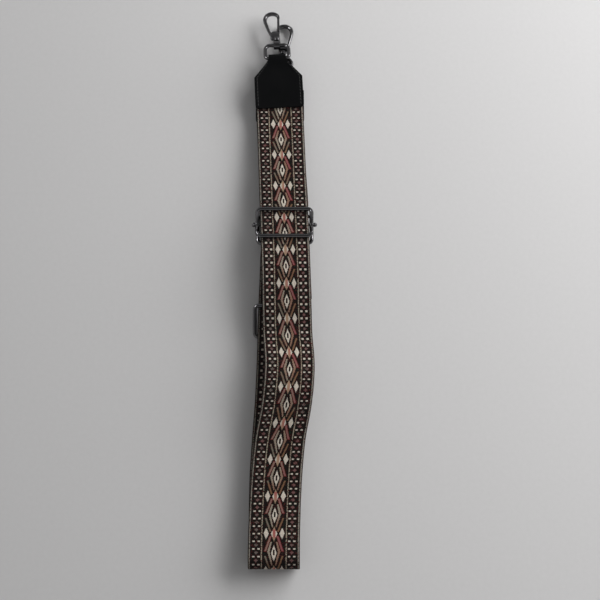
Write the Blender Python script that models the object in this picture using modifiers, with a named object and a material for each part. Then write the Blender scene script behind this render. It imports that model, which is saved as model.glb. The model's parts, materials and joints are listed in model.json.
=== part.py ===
"""Detachable bag strap, folded in half and lying on a table.

One long woven strap runs from leather tab A through the slider, round the fold, up to the loop ring and
back round the fold to the slider's ball-ended bar. A short strap joins the loop ring to leather tab B.
Each tab holds a D-ring with a swivelling snap hook. Metres, +Z up, +Y towards the hooks, table at z = 0.
"""

import math

import bmesh
import bpy
from mathutils import Matrix, Vector

MM = 0.001

# Clearances
gap = 0.3 * MM
fine_gap = 0.15 * MM
side_clear = 0.75 * MM
overrun = 2.0 * MM
weld_gap = 0.0015 * MM

# Webbing
webbing_width = 38.0 * MM
webbing_thick = 1.3 * MM
sewn_tail = 24.0 * MM
inner_reach = 5.5 * MM
bar_gap = 0.25 * MM
thread_r = 0.3 * MM
tack_length = 9.0 * MM
tack_zigzags = 7
curve_step = 4.0 * MM

# Slider, loop ring and keeper ring
slider_wire_r = 1.6 * MM
slider_length = 26.2 * MM
slider_corner_r = 3.4 * MM
slider_dip_half = 7.0 * MM
slider_rise_end = 8.6 * MM
slider_bar_r = 1.2 * MM
slider_boss_r = 2.5 * MM
slider_boss_share = 0.85
slider_ball_r = 1.8 * MM
slider_ball_reach = 24.1 * MM
ring_wire_r = 1.5 * MM
loop_ring_length = 25.4 * MM
keeper_length = 27.3 * MM
ring_corner_r = 3.0 * MM

# Leather tabs
leather_thick = 1.2 * MM
tab_length = 46.5 * MM
tab_margin = 0.7 * MM
tab_straight = 26.7 * MM
tab_corner_r = 2.2 * MM
neck_width = 14.3 * MM
neck_length = 5.3 * MM
tongue_length = 25.0 * MM
tongue_room = 1.6 * MM
tab_ramp = 11.0 * MM
stitch_inset = 2.3 * MM

# D-rings and swivel eyes
dring_wire_r = 1.5 * MM
dring_width = 22.4 * MM
dring_height = 15.35 * MM
dring_corner_r = 2.3 * MM
dring_arch_r = 4.4 * MM
eye_stock = 1.45 * MM
eye_edge_share = 0.3
eye_slack = 0.35 * MM
eye_width = 4.9 * MM
stem_r = 1.0 * MM
stem_head_r = 1.8 * MM
stem_head_length = 0.9 * MM

# Snap hooks, with the swivel axis up the page and the gate on the right
collar_r = 2.8 * MM
collar_wall = 1.1 * MM
collar_edge = 0.55 * MM
base_thick = 4.0 * MM
base_edge = 0.5 * MM
base_left = 3.9 * MM
base_bulge = 1.1 * MM
cheek_top = 7.5 * MM
cheek_slope = 1.2 * MM
cheek_side = 1.7 * MM
hook_length = 29.0 * MM
hook_reach = 11.4 * MM
bow_r = 1.8 * MM
nose_rise = 2.0 * MM
gate_outer = 2.8 * MM
gate_width = 2.2 * MM
gate_thick = 2.4 * MM
gate_edge = 0.45 * MM
gate_pin_height = 5.0 * MM
gate_top = 22.0 * MM
gate_step = 9.2 * MM
tongue_thick = 1.0 * MM
tongue_inset = 0.1 * MM
gate_slot = 2.5 * MM
slot_reach = 1.8 * MM
pin_r = 0.6 * MM
spring_wire_r = 0.15 * MM
spring_turns = 2
spring_pitch = 0.36 * MM
spring_leg = 3.0 * MM
spring_kick = 0.3 * MM
room_steps = 20

# The bow from base to nose: shares of its reach, of its height and of its thickness
bow_shares = (
    (-0.34, 0.17, 0.7), (-0.43, 0.24, 0.7), (-0.54, 0.33, 0.72), (-0.69, 0.5, 0.78), (-0.79, 0.62, 0.84),
    (-0.825, 0.705, 0.9), (-0.80, 0.78, 0.96), (-0.71, 0.845, 1.0), (-0.56, 0.893, 1.0),
    (-0.36, 0.919, 1.0), (-0.2, 0.918, 0.98), (-0.06, 0.9, 0.94), (0.06, 0.868, 0.88),
)
nose_shares = (0.78, 0.7)

# Where the pieces lie on the table
overall_length = 454.6 * MM
slider_y = 38.2 * MM
slider_x = 0.0 * MM
loop_ring_y = 36.5 * MM
loop_ring_x = 0.2 * MM
keeper_y = -39.2 * MM
keeper_x = -1.4 * MM
tab_a_end_y = 140.0 * MM
tab_a_end_x = -4.1 * MM
tab_b_end_y = 130.0 * MM
tab_b_end_x = -4.0 * MM
fold_x = -6.8 * MM
fold_height = 13.2 * MM
tab_a_yaw = math.radians(3.0)
tab_b_yaw = math.radians(0.5)
hook_a_yaw = math.radians(1.2)
hook_b_yaw = math.radians(5.0)
slider_yaw = math.radians(0.0)
hook_b_pitch = math.radians(-2.9)
eye_b_aside = 2.5 * MM

# The upper run's hump: places as shares of crest_y, heights as shares of its height, drifts of fold_x
crest_y = -93.0 * MM
crest_height = 17.6 * MM
hump_shares = ((0.78, 0.86), (1.0, 0.963), (1.2, 0.84), (1.5, 0.62), (1.95, 0.60))
front_drift_shares = ((2.03, 0.93), (1.72, 0.74), (1.42, 0.36), (1.14, -0.33), (0.83, -0.66), (0.52, -0.4))
back_drift_shares = ((1.75, 0.97), (1.45, 0.78), (1.05, 0.43), (0.7, 0.26))
sags = ((9.5 * MM, 1.9 * MM), (-10.9 * MM, 3.9 * MM))
straight_run = 34.0 * MM
merge_run = 21.8 * MM
lift_near = 27.3 * MM
lift_far = 45.0 * MM
lift_step = 22.0 * MM
fold_slope = 0.04

# Worked out from the sizes above
ply = webbing_thick + gap
half_web = webbing_width / 2
rail_half = half_web + side_clear
rail_x = rail_half + slider_wire_r
tab_thick = 2 * leather_thick + webbing_thick + 2 * gap
neck_r = dring_wire_r + gap + leather_thick
bar_in_tab = tab_length - neck_r
dring_span = dring_height - 2 * dring_wire_r
eye_hole_r = dring_wire_r + gap + eye_slack
eye_outer_r = eye_hole_r + eye_stock
collar_start = eye_outer_r + gap
head_room_top = collar_wall + stem_head_length + 2 * gap
collar_top = head_room_top + collar_wall / 2
gate_pin_x = gate_outer - gate_width / 2
tongue_z = fine_gap - gate_slot / 2 + tongue_thick / 2
loop_turn_r = ring_wire_r + bar_gap + webbing_thick / 2
pin_turn_r = slider_bar_r + bar_gap + webbing_thick / 2
front_over_pin = pin_turn_r + ply
bar_over_pin = front_over_pin + webbing_thick / 2 + gap + slider_wire_r
back_z = webbing_thick / 2
loop_bar_z = back_z + loop_turn_r
loop_top_z = loop_bar_z + loop_turn_r + webbing_thick / 2
loop_bar_y = loop_ring_y - loop_ring_length / 2 + ring_wire_r
short_bar_y = loop_ring_y + loop_ring_length / 2 - ring_wire_r
keeper_reach = keeper_length / 2 - ring_wire_r
lifted_z = 2 * ring_wire_r + gap + webbing_thick / 2
keeper_top_z = lifted_z + ply + webbing_thick / 2 + gap + ring_wire_r
keeper_pitch = math.asin((keeper_top_z - ring_wire_r) / (2 * keeper_reach))
eye_b_z = eye_outer_r
tab_a_end_z = tab_thick + gap
tab_a_bar_z = eye_b_z + eye_outer_r + 2 * gap + neck_r
tab_a_pitch = math.asin((tab_a_bar_z - neck_r - tab_a_end_z) / bar_in_tab)
front_start_z = tab_a_end_z + tab_thick / 2
pin_z = loop_top_z + pin_turn_r + webbing_thick / 2 + 3 * gap
line_slope = (pin_z + front_over_pin - front_start_z) / (tab_a_end_y - slider_y)
line_drift = (tab_a_end_x - slider_x) / (tab_a_end_y - slider_y)
end_drift = line_drift + math.tan(slider_yaw)
line_pitch = math.atan(line_slope)
fold_r = (fold_height - webbing_thick) / 2
fold_y = fold_r + webbing_thick / 2 - overall_length / 2
front_fold_z = back_z + 2 * fold_r
straight_end_y = slider_y - straight_run
line_end_y = keeper_y + keeper_reach
merge_y = keeper_y - merge_run
lift_near_y = keeper_y + lift_near
lift_far_y = keeper_y - lift_far
eye_a_z = eye_b_z + base_thick / 2 + collar_start * math.sin(hook_b_pitch) + gap + eye_outer_r
hook_a_rest_z = eye_outer_r + math.sin(hook_b_pitch) * hook_length + bow_r + gap + gate_outer
hook_a_rest_length = collar_start + gate_top - overrun


# Collections and materials
def fresh_collection(name):
    for item in list(bpy.data.objects):
        bpy.data.objects.remove(item, do_unlink=True)
    made = bpy.data.collections.new(name)
    bpy.context.scene.collection.children.link(made)
    tools = bpy.data.collections.new("cutters")
    bpy.context.scene.collection.children.link(tools)
    return made, tools


strap, cutters = fresh_collection("detachable_bag_strap")


def material(name, colour, roughness, metallic):
    made = bpy.data.materials.new(name)
    made.use_nodes = True
    shader = made.node_tree.nodes["Principled BSDF"]
    shader.inputs["Base Color"].default_value = (*colour, 1.0)
    shader.inputs["Roughness"].default_value = roughness
    shader.inputs["Metallic"].default_value = metallic
    return made


def gunmetal(name):
    return material(name + "_gunmetal", (0.09, 0.09, 0.1), 0.25, 1.0)


def leather(name):
    return material(name + "_leather", (0.012, 0.012, 0.013), 0.5, 0.0)


def woven(name):
    return material(name + "_webbing", (0.07, 0.05, 0.04), 0.85, 0.0)


def thread(name):
    return material(name + "_thread", (0.02, 0.02, 0.02), 0.6, 0.0)


def spring_steel(name):
    return material(name + "_steel", (0.5, 0.5, 0.5), 0.3, 1.0)


def placed(name, mesh, look, place, group=strap):
    """A mesh made an object at a frame; a piece has a look, a tool for a Boolean has none."""
    made = bpy.data.objects.new(name, mesh)
    group.objects.link(made)
    made.matrix_world = place
    if look:
        made.data.materials.clear()
        made.data.materials.append(look(name))
    return made


def hang(carried, carrier):
    """Parents a piece to the one that carries it, and leaves both where they are."""
    carried.parent = carrier
    carried.matrix_parent_inverse = carrier.matrix_world.inverted()


def boolean(made, mesh, place, operation):
    """Joins a shape to a piece or takes it away; the tool stays parented to the piece."""
    tool = placed(mesh.name, mesh, None, place, cutters)
    tool.hide_render = True
    tool.display_type = "WIRE"
    hang(tool, made)
    step = made.modifiers.new(operation.lower() + "_" + mesh.name, "BOOLEAN")
    step.operation = operation
    step.solver = "EXACT"
    step.object = tool
    return tool


def join(made, mesh, place):
    return boolean(made, mesh, place, "UNION")


def cut(made, mesh, place):
    return boolean(made, mesh, place, "DIFFERENCE")


def smooth(made, degrees=35):
    made.data.shade_smooth()
    made.data.set_sharp_from_angle(angle=math.radians(degrees))
    return made


def round_edges(made, width):
    edge = made.modifiers.new("edge", "BEVEL")
    edge.width = width
    edge.segments = 2
    edge.limit_method = "ANGLE"


# Shapes
def evaluated_mesh(carrier):
    found = carrier.evaluated_get(bpy.context.evaluated_depsgraph_get())
    mesh = bpy.data.meshes.new_from_object(found)
    mesh.name = carrier.name
    bpy.data.objects.remove(carrier, do_unlink=True)
    return mesh


def curve_mesh(name, curve, weld=True):
    """The mesh of a curve's surface, its caps welded to its sides."""
    carrier = bpy.data.objects.new(name, curve)
    bpy.context.scene.collection.objects.link(carrier)
    mesh = evaluated_mesh(carrier)
    if weld:
        shape = bmesh.new()
        shape.from_mesh(mesh)
        bmesh.ops.remove_doubles(shape, verts=shape.verts, dist=weld_gap)
        bmesh.ops.recalc_face_normals(shape, faces=shape.faces)
        shape.to_mesh(mesh)
        shape.free()
    return mesh


def poly_line(curve, points):
    line = curve.splines.new("POLY")
    line.points.add(len(points) - 1)
    for i, point in enumerate(points):
        line.points[i].co = (*point, 1.0)
    return line


def tube(name, points, radius, closed=False, shares=None, sides=2):
    """A wire along points; shares give its thickness at each of them."""
    curve = bpy.data.curves.new(name, "CURVE")
    curve.dimensions = "3D"
    curve.bevel_depth = radius
    curve.bevel_resolution = sides
    curve.use_fill_caps = not closed
    line = poly_line(curve, points)
    line.use_cyclic_u = closed
    for i, share in enumerate(shares or []):
        line.points[i].radius = share
    return curve_mesh(name, curve)


def plate(name, outline, thick):
    """A flat outline in X and Y given a thickness along Z, half of it each way."""
    curve = bpy.data.curves.new(name, "CURVE")
    curve.dimensions = "2D"
    curve.fill_mode = "BOTH"
    curve.extrude = thick / 2
    poly_line(curve, [(x, y, 0.0) for x, y in outline]).use_cyclic_u = True
    return curve_mesh(name, curve)


def ribbon(name, profile, width):
    """An open strip that follows a side view of (y, z) points and is as wide as the webbing along X."""
    curve = bpy.data.curves.new(name, "CURVE")
    curve.dimensions = "2D"
    curve.fill_mode = "NONE"
    curve.extrude = width / 2
    poly_line(curve, [(y, z, 0.0) for y, z in profile])
    mesh = curve_mesh(name, curve, weld=False)
    mesh.transform(SIDE_VIEW)
    return mesh


def primitive(name, make):
    """A mesh from one bmesh operator."""
    shape = bmesh.new()
    make(shape)
    mesh = bpy.data.meshes.new(name)
    shape.to_mesh(mesh)
    shape.free()
    return mesh


def cylinder(name, radius, length, sides=24):
    return primitive(name, lambda shape: bmesh.ops.create_cone(
        shape, cap_ends=True, segments=sides, radius1=radius, radius2=radius, depth=length
    ))


def ball(name, radius):
    return primitive(name, lambda shape: bmesh.ops.create_uvsphere(
        shape, u_segments=20, v_segments=12, radius=radius
    ))


def block(name, low, high):
    mesh = primitive(name, lambda shape: bmesh.ops.create_cube(shape, size=1.0))
    centre = (Vector(low) + Vector(high)) / 2
    mesh.transform(Matrix.Translation(centre) @ Matrix.Diagonal((*(Vector(high) - Vector(low)), 1.0)))
    return mesh


def turned(name, profile, steps=24):
    """A profile of (radius, height) points from top to bottom, turned round Z by a Screw modifier."""
    mesh = bpy.data.meshes.new(name)
    mesh.from_pydata([(r, 0.0, z) for r, z in profile], [(i, i + 1) for i in range(len(profile) - 1)], [])
    carrier = bpy.data.objects.new(name, mesh)
    bpy.context.scene.collection.objects.link(carrier)
    screw = carrier.modifiers.new("turn", "SCREW")
    screw.steps = steps
    screw.render_steps = steps
    screw.use_merge_vertices = True
    screw.merge_threshold = weld_gap
    return evaluated_mesh(carrier)


def arc(centre, radius, start, end, steps):
    """Points along a circle from one angle to another, in degrees."""
    angles = [math.radians(start + (end - start) * i / steps) for i in range(steps + 1)]
    return [(centre[0] + radius * math.cos(a), centre[1] + radius * math.sin(a)) for a in angles]


def corner(half_x, half_y, radius, sign_x, sign_y, start):
    """One round corner of a rectangle, from a starting angle in degrees."""
    return arc((sign_x * (half_x - radius), sign_y * (half_y - radius)), radius, start, start + 90, 6)


def rounded_box(half_x, half_y, radius):
    """A closed loop round a rectangle with round corners."""
    places = ((1, 1, 0), (-1, 1, 90), (-1, -1, 180), (1, -1, 270))
    return [point for place in places for point in corner(half_x, half_y, radius, *place)]


# The axes change places for a side view: what is drawn along X and Y stands along Y and Z
SIDE_VIEW = Matrix(((0, 0, 1, 0), (1, 0, 0, 0), (0, 1, 0, 0), (0, 0, 0, 1)))
ALONG_X = Matrix.Rotation(math.pi / 2, 4, "Y")
ALONG_Y = Matrix.Rotation(-math.pi / 2, 4, "X")


def moved(place, x, y, z):
    return place @ Matrix.Translation((x, y, z))


def frame_at(place, yaw, pitch):
    """A piece's frame: turned about Z, then raised about its own X."""
    return Matrix.Translation(place) @ Matrix.Rotation(yaw, 4, "Z") @ Matrix.Rotation(pitch, 4, "X")


def through(points, first_slope, last_slope):
    """A smooth curve through (place, value) points, as a function of place."""
    points = sorted(points)
    slopes = [first_slope]
    for before, after in zip(points, points[2:]):
        slopes.append((after[1] - before[1]) / (after[0] - before[0]))
    slopes.append(last_slope)

    def value(at):
        at = min(max(at, points[0][0]), points[-1][0])
        i = max(k for k in range(len(points) - 1) if points[k][0] <= at)
        span = points[i + 1][0] - points[i][0]
        t = (at - points[i][0]) / span
        level = points[i][1] * (1 + 2 * t) * (1 - t) ** 2 + points[i + 1][1] * t * t * (3 - 2 * t)
        return level + span * (slopes[i] * t * (1 - t) ** 2 + slopes[i + 1] * t * t * (t - 1))

    return value


def rise(at, start, end):
    """0 at start, 1 at end, smooth between."""
    t = min(max((at - start) / (end - start), 0.0), 1.0)
    return t * t * (3 - 2 * t)


def spread(start, end, step):
    """Places from start to end, about a step apart."""
    count = max(1, round(abs(end - start) / step))
    return [start + (end - start) * i / count for i in range(count + 1)]


# How the strap lies: heights of its runs and their drift to the side, as functions of Y
def line_z(y):
    """Height of the slider's bar axis if the slider stood at y."""
    return pin_z + (slider_y - y) * line_slope


straight_end_z = line_z(straight_end_y) + front_over_pin
front_points = [(straight_end_y, straight_end_z), (fold_y, front_fold_z)]
front_points += [(keeper_y + along, straight_end_z - sag) for along, sag in sags]
front_points += [(along * crest_y, height * crest_height) for along, height in hump_shares]
front_curve = through(front_points, fold_slope, -line_slope)


def front_z(y):
    """The upper run: straight through the slider, then over the keeper ring and the hump to the fold."""
    return line_z(y) + front_over_pin if y >= straight_end_y else front_curve(y)


under_slider = -pin_turn_r - ply
merge_slope = (front_z(merge_y + curve_step) - front_z(merge_y - curve_step)) / (2 * curve_step)
merge_points = [(line_end_y, line_z(line_end_y) + under_slider), (merge_y, front_z(merge_y) - ply)]
merge_curve = through(merge_points, merge_slope, -line_slope)


def return_z(y):
    """The inner ply of the upper run, which ends under the slider."""
    if y >= line_end_y:
        return line_z(y) + under_slider
    return merge_curve(y) if y > merge_y else front_z(y) - ply


def back_run_z(y):
    """The lower run lies on the table and is lifted where the keeper ring's bar passes under it."""
    lifted = rise(y, lift_far_y - lift_step, lift_far_y) * rise(y, lift_near_y + lift_step, lift_near_y)
    return back_z + (lifted_z - back_z) * lifted


loop_return_z = through([(loop_bar_y, loop_bar_z + loop_turn_r), (lift_near_y, lifted_z + ply)], 0.0, 0.0)


def back_return_z(y):
    """The ply that comes back from the loop ring, lying on the lower run."""
    return loop_return_z(y) if y > lift_near_y else back_run_z(y) + ply


def line_x(y):
    """Sideways place of the slider if it stood at y."""
    return slider_x + (y - slider_y) * line_drift


front_drift_points = [(fold_y, fold_x), (straight_end_y, line_x(straight_end_y)), (tab_a_end_y, tab_a_end_x)]
front_drift_points += [(along * crest_y, drift * fold_x) for along, drift in front_drift_shares]
front_drift_points += [(tab_a_end_y + tongue_length, tab_a_end_x - tongue_length * math.tan(tab_a_yaw))]
front_drift = through(front_drift_points, 0.0, -math.tan(tab_a_yaw))
back_drift_points = [(fold_y, fold_x), (keeper_y, keeper_x), (loop_bar_y, loop_ring_x)]
back_drift_points += [(along * crest_y, drift * fold_x) for along, drift in back_drift_shares]
back_drift = through(back_drift_points, 0.0, 0.0)
short_drift_points = [(short_bar_y, loop_ring_x), (tab_b_end_y, tab_b_end_x)]
short_drift_points += [((short_bar_y + tab_b_end_y) / 2, (loop_ring_x + tab_b_end_x) / 2)]
short_drift_points += [(tab_b_end_y + tongue_length, tab_b_end_x - tongue_length * math.tan(tab_b_yaw))]
short_drift = through(short_drift_points, 0.0, 0.0)


def front_x(y):
    return line_x(y) if straight_end_y <= y <= tab_a_end_y else front_drift(y)


def drawn_in_share(y, bar_y):
    """How much of its width the webbing keeps at y: a ring's round corners draw it in."""
    free_half = min(rail_x - ring_corner_r - gap, half_web)
    near = 1 - rise(abs(y - bar_y), loop_turn_r + ring_wire_r, loop_turn_r + ring_corner_r + curve_step)
    return 1 + (free_half / half_web - 1) * near


# Webbing
def thick_strip(name, profile, drift, drawn_in=None):
    """Webbing along a side view; drift and drawn_in give its sideways place and share of width at a point."""
    mesh = ribbon(name, profile, webbing_width)
    for vertex in mesh.vertices:
        nearest = min(
            range(len(profile)),
            key=lambda i: (profile[i][0] - vertex.co.y) ** 2 + (profile[i][1] - vertex.co.z) ** 2,
        )
        if drawn_in:
            vertex.co.x *= drawn_in(nearest, vertex.co.y)
        vertex.co.x += drift(nearest, vertex.co.y)
    made = placed(name, mesh, woven, Matrix())
    wall = made.modifiers.new("thickness", "SOLIDIFY")
    wall.thickness = webbing_thick
    wall.offset = 0.0
    wall.use_even_offset = True
    return smooth(made)


def main_webbing():
    """One strap: tab A, over the slider's bar, fold, loop ring, fold again, and back under the slider."""
    tongue = spread(tab_a_end_y + tongue_length, tab_a_end_y + curve_step / 4, curve_step)
    front = [(y, front_start_z + (y - tab_a_end_y) * math.tan(tab_a_pitch)) for y in tongue]
    front += [(y, front_z(y)) for y in spread(tab_a_end_y - curve_step / 4, straight_end_y, 4 * curve_step)]
    front += [(y, front_z(y)) for y in spread(straight_end_y - curve_step, fold_y, curve_step)]
    outer = arc((fold_y, back_z + fold_r), fold_r, 90, 270, 14)[1:]
    back = [(y, back_run_z(y)) for y in spread(fold_y + curve_step, loop_bar_y, curve_step)]
    turn = arc((loop_bar_y, loop_bar_z), loop_turn_r, -90, 90, 10)[1:]
    back_return = [(y, back_return_z(y)) for y in spread(loop_bar_y - curve_step, fold_y, curve_step)]
    inner = arc((fold_y, back_z + fold_r), fold_r - ply, 270, 90, 12)[1:]
    over = [(y, return_z(y)) for y in spread(fold_y + curve_step, line_end_y, curve_step)]
    inner_end_y = slider_y + inner_reach
    over += [(y, return_z(y)) for y in spread(line_end_y + curve_step, inner_end_y, 4 * curve_step)]
    profile = front + outer + back + turn + back_return + inner + over
    first_back = len(front) + len(outer) / 2
    last_back = len(profile) - len(over) - len(inner) / 2

    def drift(index, y):
        return back_drift(y) if first_back < index < last_back else front_x(y)

    def drawn_in(index, y):
        return drawn_in_share(y, loop_bar_y) if first_back < index < last_back else 1.0

    return thick_strip("main_webbing", profile, drift, drawn_in)


def short_webbing():
    """From tab B along the table, round the loop ring's upper bar, and sewn back on itself."""
    flat_y = tab_b_end_y - lift_step
    down = through([(flat_y, back_z), (tab_b_end_y, tab_thick / 2)], 0.0, 0.0)
    profile = [(y, tab_thick / 2) for y in spread(tab_b_end_y + tongue_length, tab_b_end_y, 3 * curve_step)]
    profile += [(y, down(y)) for y in spread(tab_b_end_y - curve_step, flat_y, curve_step)]
    profile += [(y, back_z) for y in spread(flat_y - curve_step, short_bar_y, 3 * curve_step)]
    profile += arc((short_bar_y, loop_bar_z), loop_turn_r, 270, 90, 10)[1:]
    tail_y = short_bar_y + lift_step
    fall = through([(short_bar_y, loop_bar_z + loop_turn_r), (tail_y, back_z + ply)], 0.0, 0.0)
    profile += [(y, fall(y)) for y in spread(short_bar_y + curve_step, tail_y, curve_step)]
    profile += [(y, back_z + ply) for y in spread(tail_y + curve_step, tail_y + sewn_tail / 2, curve_step)]

    def drawn_in(index, y):
        return drawn_in_share(y, short_bar_y)

    return thick_strip("short_webbing", profile, lambda index, y: short_drift(y), drawn_in)


def webbing_end(place):
    """The strap's sewn end, wrapped round the slider's bar: it slides with the slider over the inner ply."""
    lower_length = slider_y - line_end_y - curve_step
    fall_length = sewn_tail / 2
    fall = through([(-fall_length, ply - pin_turn_r), (0.0, pin_turn_r)], 0.0, 0.0)
    profile = [(-y, -pin_turn_r) for y in spread(lower_length, 0.0, 2 * curve_step)]
    profile += arc((0.0, 0.0), pin_turn_r, -90, 90, 10)[1:]
    profile += [(-y, fall(-y)) for y in spread(curve_step, fall_length, curve_step / 2)]
    profile += [(-y, ply - pin_turn_r) for y in spread(fall_length + curve_step, sewn_tail, curve_step)]
    made = thick_strip("webbing_end", profile, lambda index, y: y * end_drift)
    made.matrix_world = place
    return made


def tack(name, place):
    """A zigzag of thread across the width of a sewn tail."""
    width = webbing_width - 2 * stitch_inset
    count = 2 * tack_zigzags
    turns = [(width * (i / count - 0.5), (i % 2 - 0.5) * tack_length, 0.0) for i in range(count + 1)]
    return placed(name, tube(name, turns, thread_r, sides=1), thread, place)


def webbing():
    """The two straps and the thread in the short one's tail, all hung on the long one."""
    strip = main_webbing()
    short = short_webbing()
    hang(short, strip)
    tack_y = short_bar_y + lift_step + tack_length / 2
    tack_z = back_z + ply + webbing_thick / 2 + gap + thread_r
    hang(tack("ring_stitching", Matrix.Translation((short_drift(tack_y), tack_y, tack_z))), short)
    return strip, short


# Slider and rings
def slider_loop():
    """The slider's wire: raised end bars, and side rails that dip to the ball-ended bar."""
    half_y = slider_length / 2 - slider_wire_r
    flat = []
    for place in ((1, 1, 0), (-1, 1, 90), (-1, -1, 180), (1, -1, 270)):
        flat += corner(rail_x, half_y, slider_corner_r, *place)
        dip = spread(slider_dip_half, -slider_dip_half, slider_dip_half / 3)
        if place[2] == 90:
            flat += [(-rail_x, y) for y in dip]
        if place[2] == 270:
            flat += [(rail_x, -y) for y in dip]
    raised = []
    for x, y in flat:
        share = min(1.0, (y / slider_rise_end) ** 2)
        on_rail = abs(x) > rail_x - slider_corner_r
        raised.append((x, y, bar_over_pin * (share if on_rail else 1.0)))
    return raised


def slider(place):
    """The frame with its two bosses, and the loose bar whose balls sit in the rails."""
    wire = tube("slider_frame", slider_loop(), slider_wire_r, closed=True)
    body = smooth(placed("slider_frame", wire, gunmetal, place))
    for side in (-1, 1):
        boss = cylinder("slider_boss", slider_boss_r, 2 * slider_wire_r * slider_boss_share)
        join(body, boss, moved(place, side * rail_x, 0.0, 0.0) @ ALONG_X)
    for side in (-1, 1):
        hole = cylinder("slider_hole", slider_bar_r + fine_gap, 4 * slider_wire_r)
        cut(body, hole, moved(place, side * rail_x, 0.0, 0.0) @ ALONG_X)
        seat = ball("slider_seat", slider_ball_r + fine_gap)
        cut(body, seat, moved(place, side * slider_ball_reach, 0.0, 0.0))
    bar = cylinder("slider_bar", slider_bar_r, 2 * slider_ball_reach)
    bar = smooth(placed("slider_bar", bar, gunmetal, place @ ALONG_X))
    for side in (-1, 1):
        join(bar, ball("slider_ball", slider_ball_r), moved(place, side * slider_ball_reach, 0.0, 0.0))
    hang(bar, body)
    tail = webbing_end(place)
    hang(tail, bar)
    tack_y = stitch_inset + tack_length / 2 - sewn_tail
    tack_z = ply - pin_turn_r + webbing_thick / 2 + gap + thread_r
    hang(tack("slider_stitching", moved(place, tack_y * end_drift, tack_y, tack_z)), tail)
    return body


def wire_ring(name, length, place):
    loop = [(x, y, 0.0) for x, y in rounded_box(rail_x, length / 2 - ring_wire_r, ring_corner_r)]
    return smooth(placed(name, tube(name, loop, ring_wire_r, closed=True), gunmetal, place))


# Leather tabs
def tab_top(y):
    """Height of the tab's upper face over its lower one, along the tab."""
    return tab_thick + (2 * neck_r - tab_thick) * rise(y, bar_in_tab - tab_ramp, bar_in_tab)


def tab_side():
    """Side view of the folded leather: round the D-ring's bar, with a slot for the webbing."""
    side = [(0.0, 0.0), (bar_in_tab, 0.0)] + arc((bar_in_tab, neck_r), neck_r, -90, 90, 12)[1:]
    side += [(y, tab_top(y)) for y in spread(bar_in_tab - tab_ramp / 8, bar_in_tab - tab_ramp, tab_ramp / 7)]
    slot_low = leather_thick
    slot_high = tab_thick - leather_thick
    slot_end = tongue_length + tongue_room
    side += [(0.0, tab_thick), (0.0, slot_high), (slot_end, slot_high), (slot_end, slot_low), (0.0, slot_low)]
    return side


def tab_outline():
    """Plan of the tab: straight sides, shoulders, and the neck that holds the D-ring."""
    half = half_web + tab_margin
    right = arc((half - tab_corner_r, tab_corner_r), tab_corner_r, -90, 0, 5)
    right += [(half, tab_straight), (neck_width / 2, tab_length - neck_length)]
    right += [(neck_width / 2, tab_length + overrun)]
    return right + [(-x, y) for x, y in reversed(right)]


def stitch_path():
    """Up one side of the tab, along its shoulder, and the same on the other side."""
    half = half_web + tab_margin - stitch_inset
    top_y = tab_length - neck_length - stitch_inset
    top_x = (neck_width - stitch_inset) / 2
    right = [(half, y) for y in spread(stitch_inset, tab_straight - stitch_inset / 2, 4 * curve_step)]
    steps = spread(tab_straight, top_y, curve_step)[1:]
    right += [(half + (top_x - half) * (y - tab_straight) / (top_y - tab_straight), y) for y in steps]
    left = [(-x, y) for x, y in reversed(right)]
    return [(x, y, tab_top(y)) for x, y in left + right]


def leather_tab(side, place):
    name = "leather_tab_" + side
    folded = plate(name, tab_side(), webbing_width + 2 * tab_margin + 2 * overrun)
    folded.transform(SIDE_VIEW)
    made = placed(name, folded, leather, place)
    boolean(made, plate(name + "_outline", tab_outline(), 8 * neck_r), place, "INTERSECT")
    bore = cylinder(name + "_bore", dring_wire_r + gap, neck_width + 2 * overrun)
    cut(made, bore, moved(place, 0.0, bar_in_tab, neck_r) @ ALONG_X)
    path = stitch_path()
    cut(made, tube("groove_" + side, path, thread_r + gap, sides=1), place)
    smooth(made, 25)
    name = "tab_stitching_" + side
    hang(smooth(placed(name, tube(name, path, thread_r, sides=1), thread, place)), made)
    return made


def d_ring(side, place):
    """Straight bar at the frame's origin, and the top with its round corners towards +Y."""
    half = dring_width / 2 - dring_wire_r
    top = dring_span - dring_arch_r
    right = arc((half - dring_corner_r, dring_corner_r), dring_corner_r, -90, 0, 5)
    right += arc((half - dring_arch_r, top), dring_arch_r, 0, 90, 10)
    loop = right + [(-x, y) for x, y in reversed(right)]
    name = "d_ring_" + side
    wire = tube(name, [(x, y, 0.0) for x, y in loop], dring_wire_r, closed=True)
    return smooth(placed(name, wire, gunmetal, place))


# Snap hooks
def swivel_eye(side, place):
    """A ring round the D-ring's wire, with a headed stem that the hook turns on."""
    name = "swivel_eye_" + side
    body = smooth(placed(name, cylinder(name, eye_outer_r, eye_width, 28), gunmetal, place @ ALONG_X))
    round_edges(body, eye_edge_share * eye_stock)
    head_low = collar_start + collar_wall + gap
    head_top = head_low + stem_head_length
    stem_foot = eye_hole_r + eye_stock / 2
    profile = [(0.0, head_top), (stem_head_r, head_top), (stem_head_r, head_low), (stem_r, head_low)]
    profile += [(stem_r, stem_foot), (0.0, stem_foot)]
    join(body, turned(name + "_stem", profile), place @ ALONG_Y)
    cut(body, cylinder(name + "_bore", eye_hole_r, 2 * eye_width, 28), place @ ALONG_X)
    return body


def cheeks(name):
    """Outline of the hook's base, which the gate's tongue fits into."""
    outline = [(-base_left, collar_wall + gap), (gate_outer, collar_wall + gap)]
    outline += [(gate_outer, gate_pin_height + gate_width / 2)]
    outline += [(gate_outer - gate_width, cheek_top + cheek_slope)]
    outline += [(-base_left - base_bulge, cheek_top - cheek_slope / 2)]
    outline += [(-base_left - base_bulge, cheek_top - cheek_side)]
    return plate(name, outline, base_thick)


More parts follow.
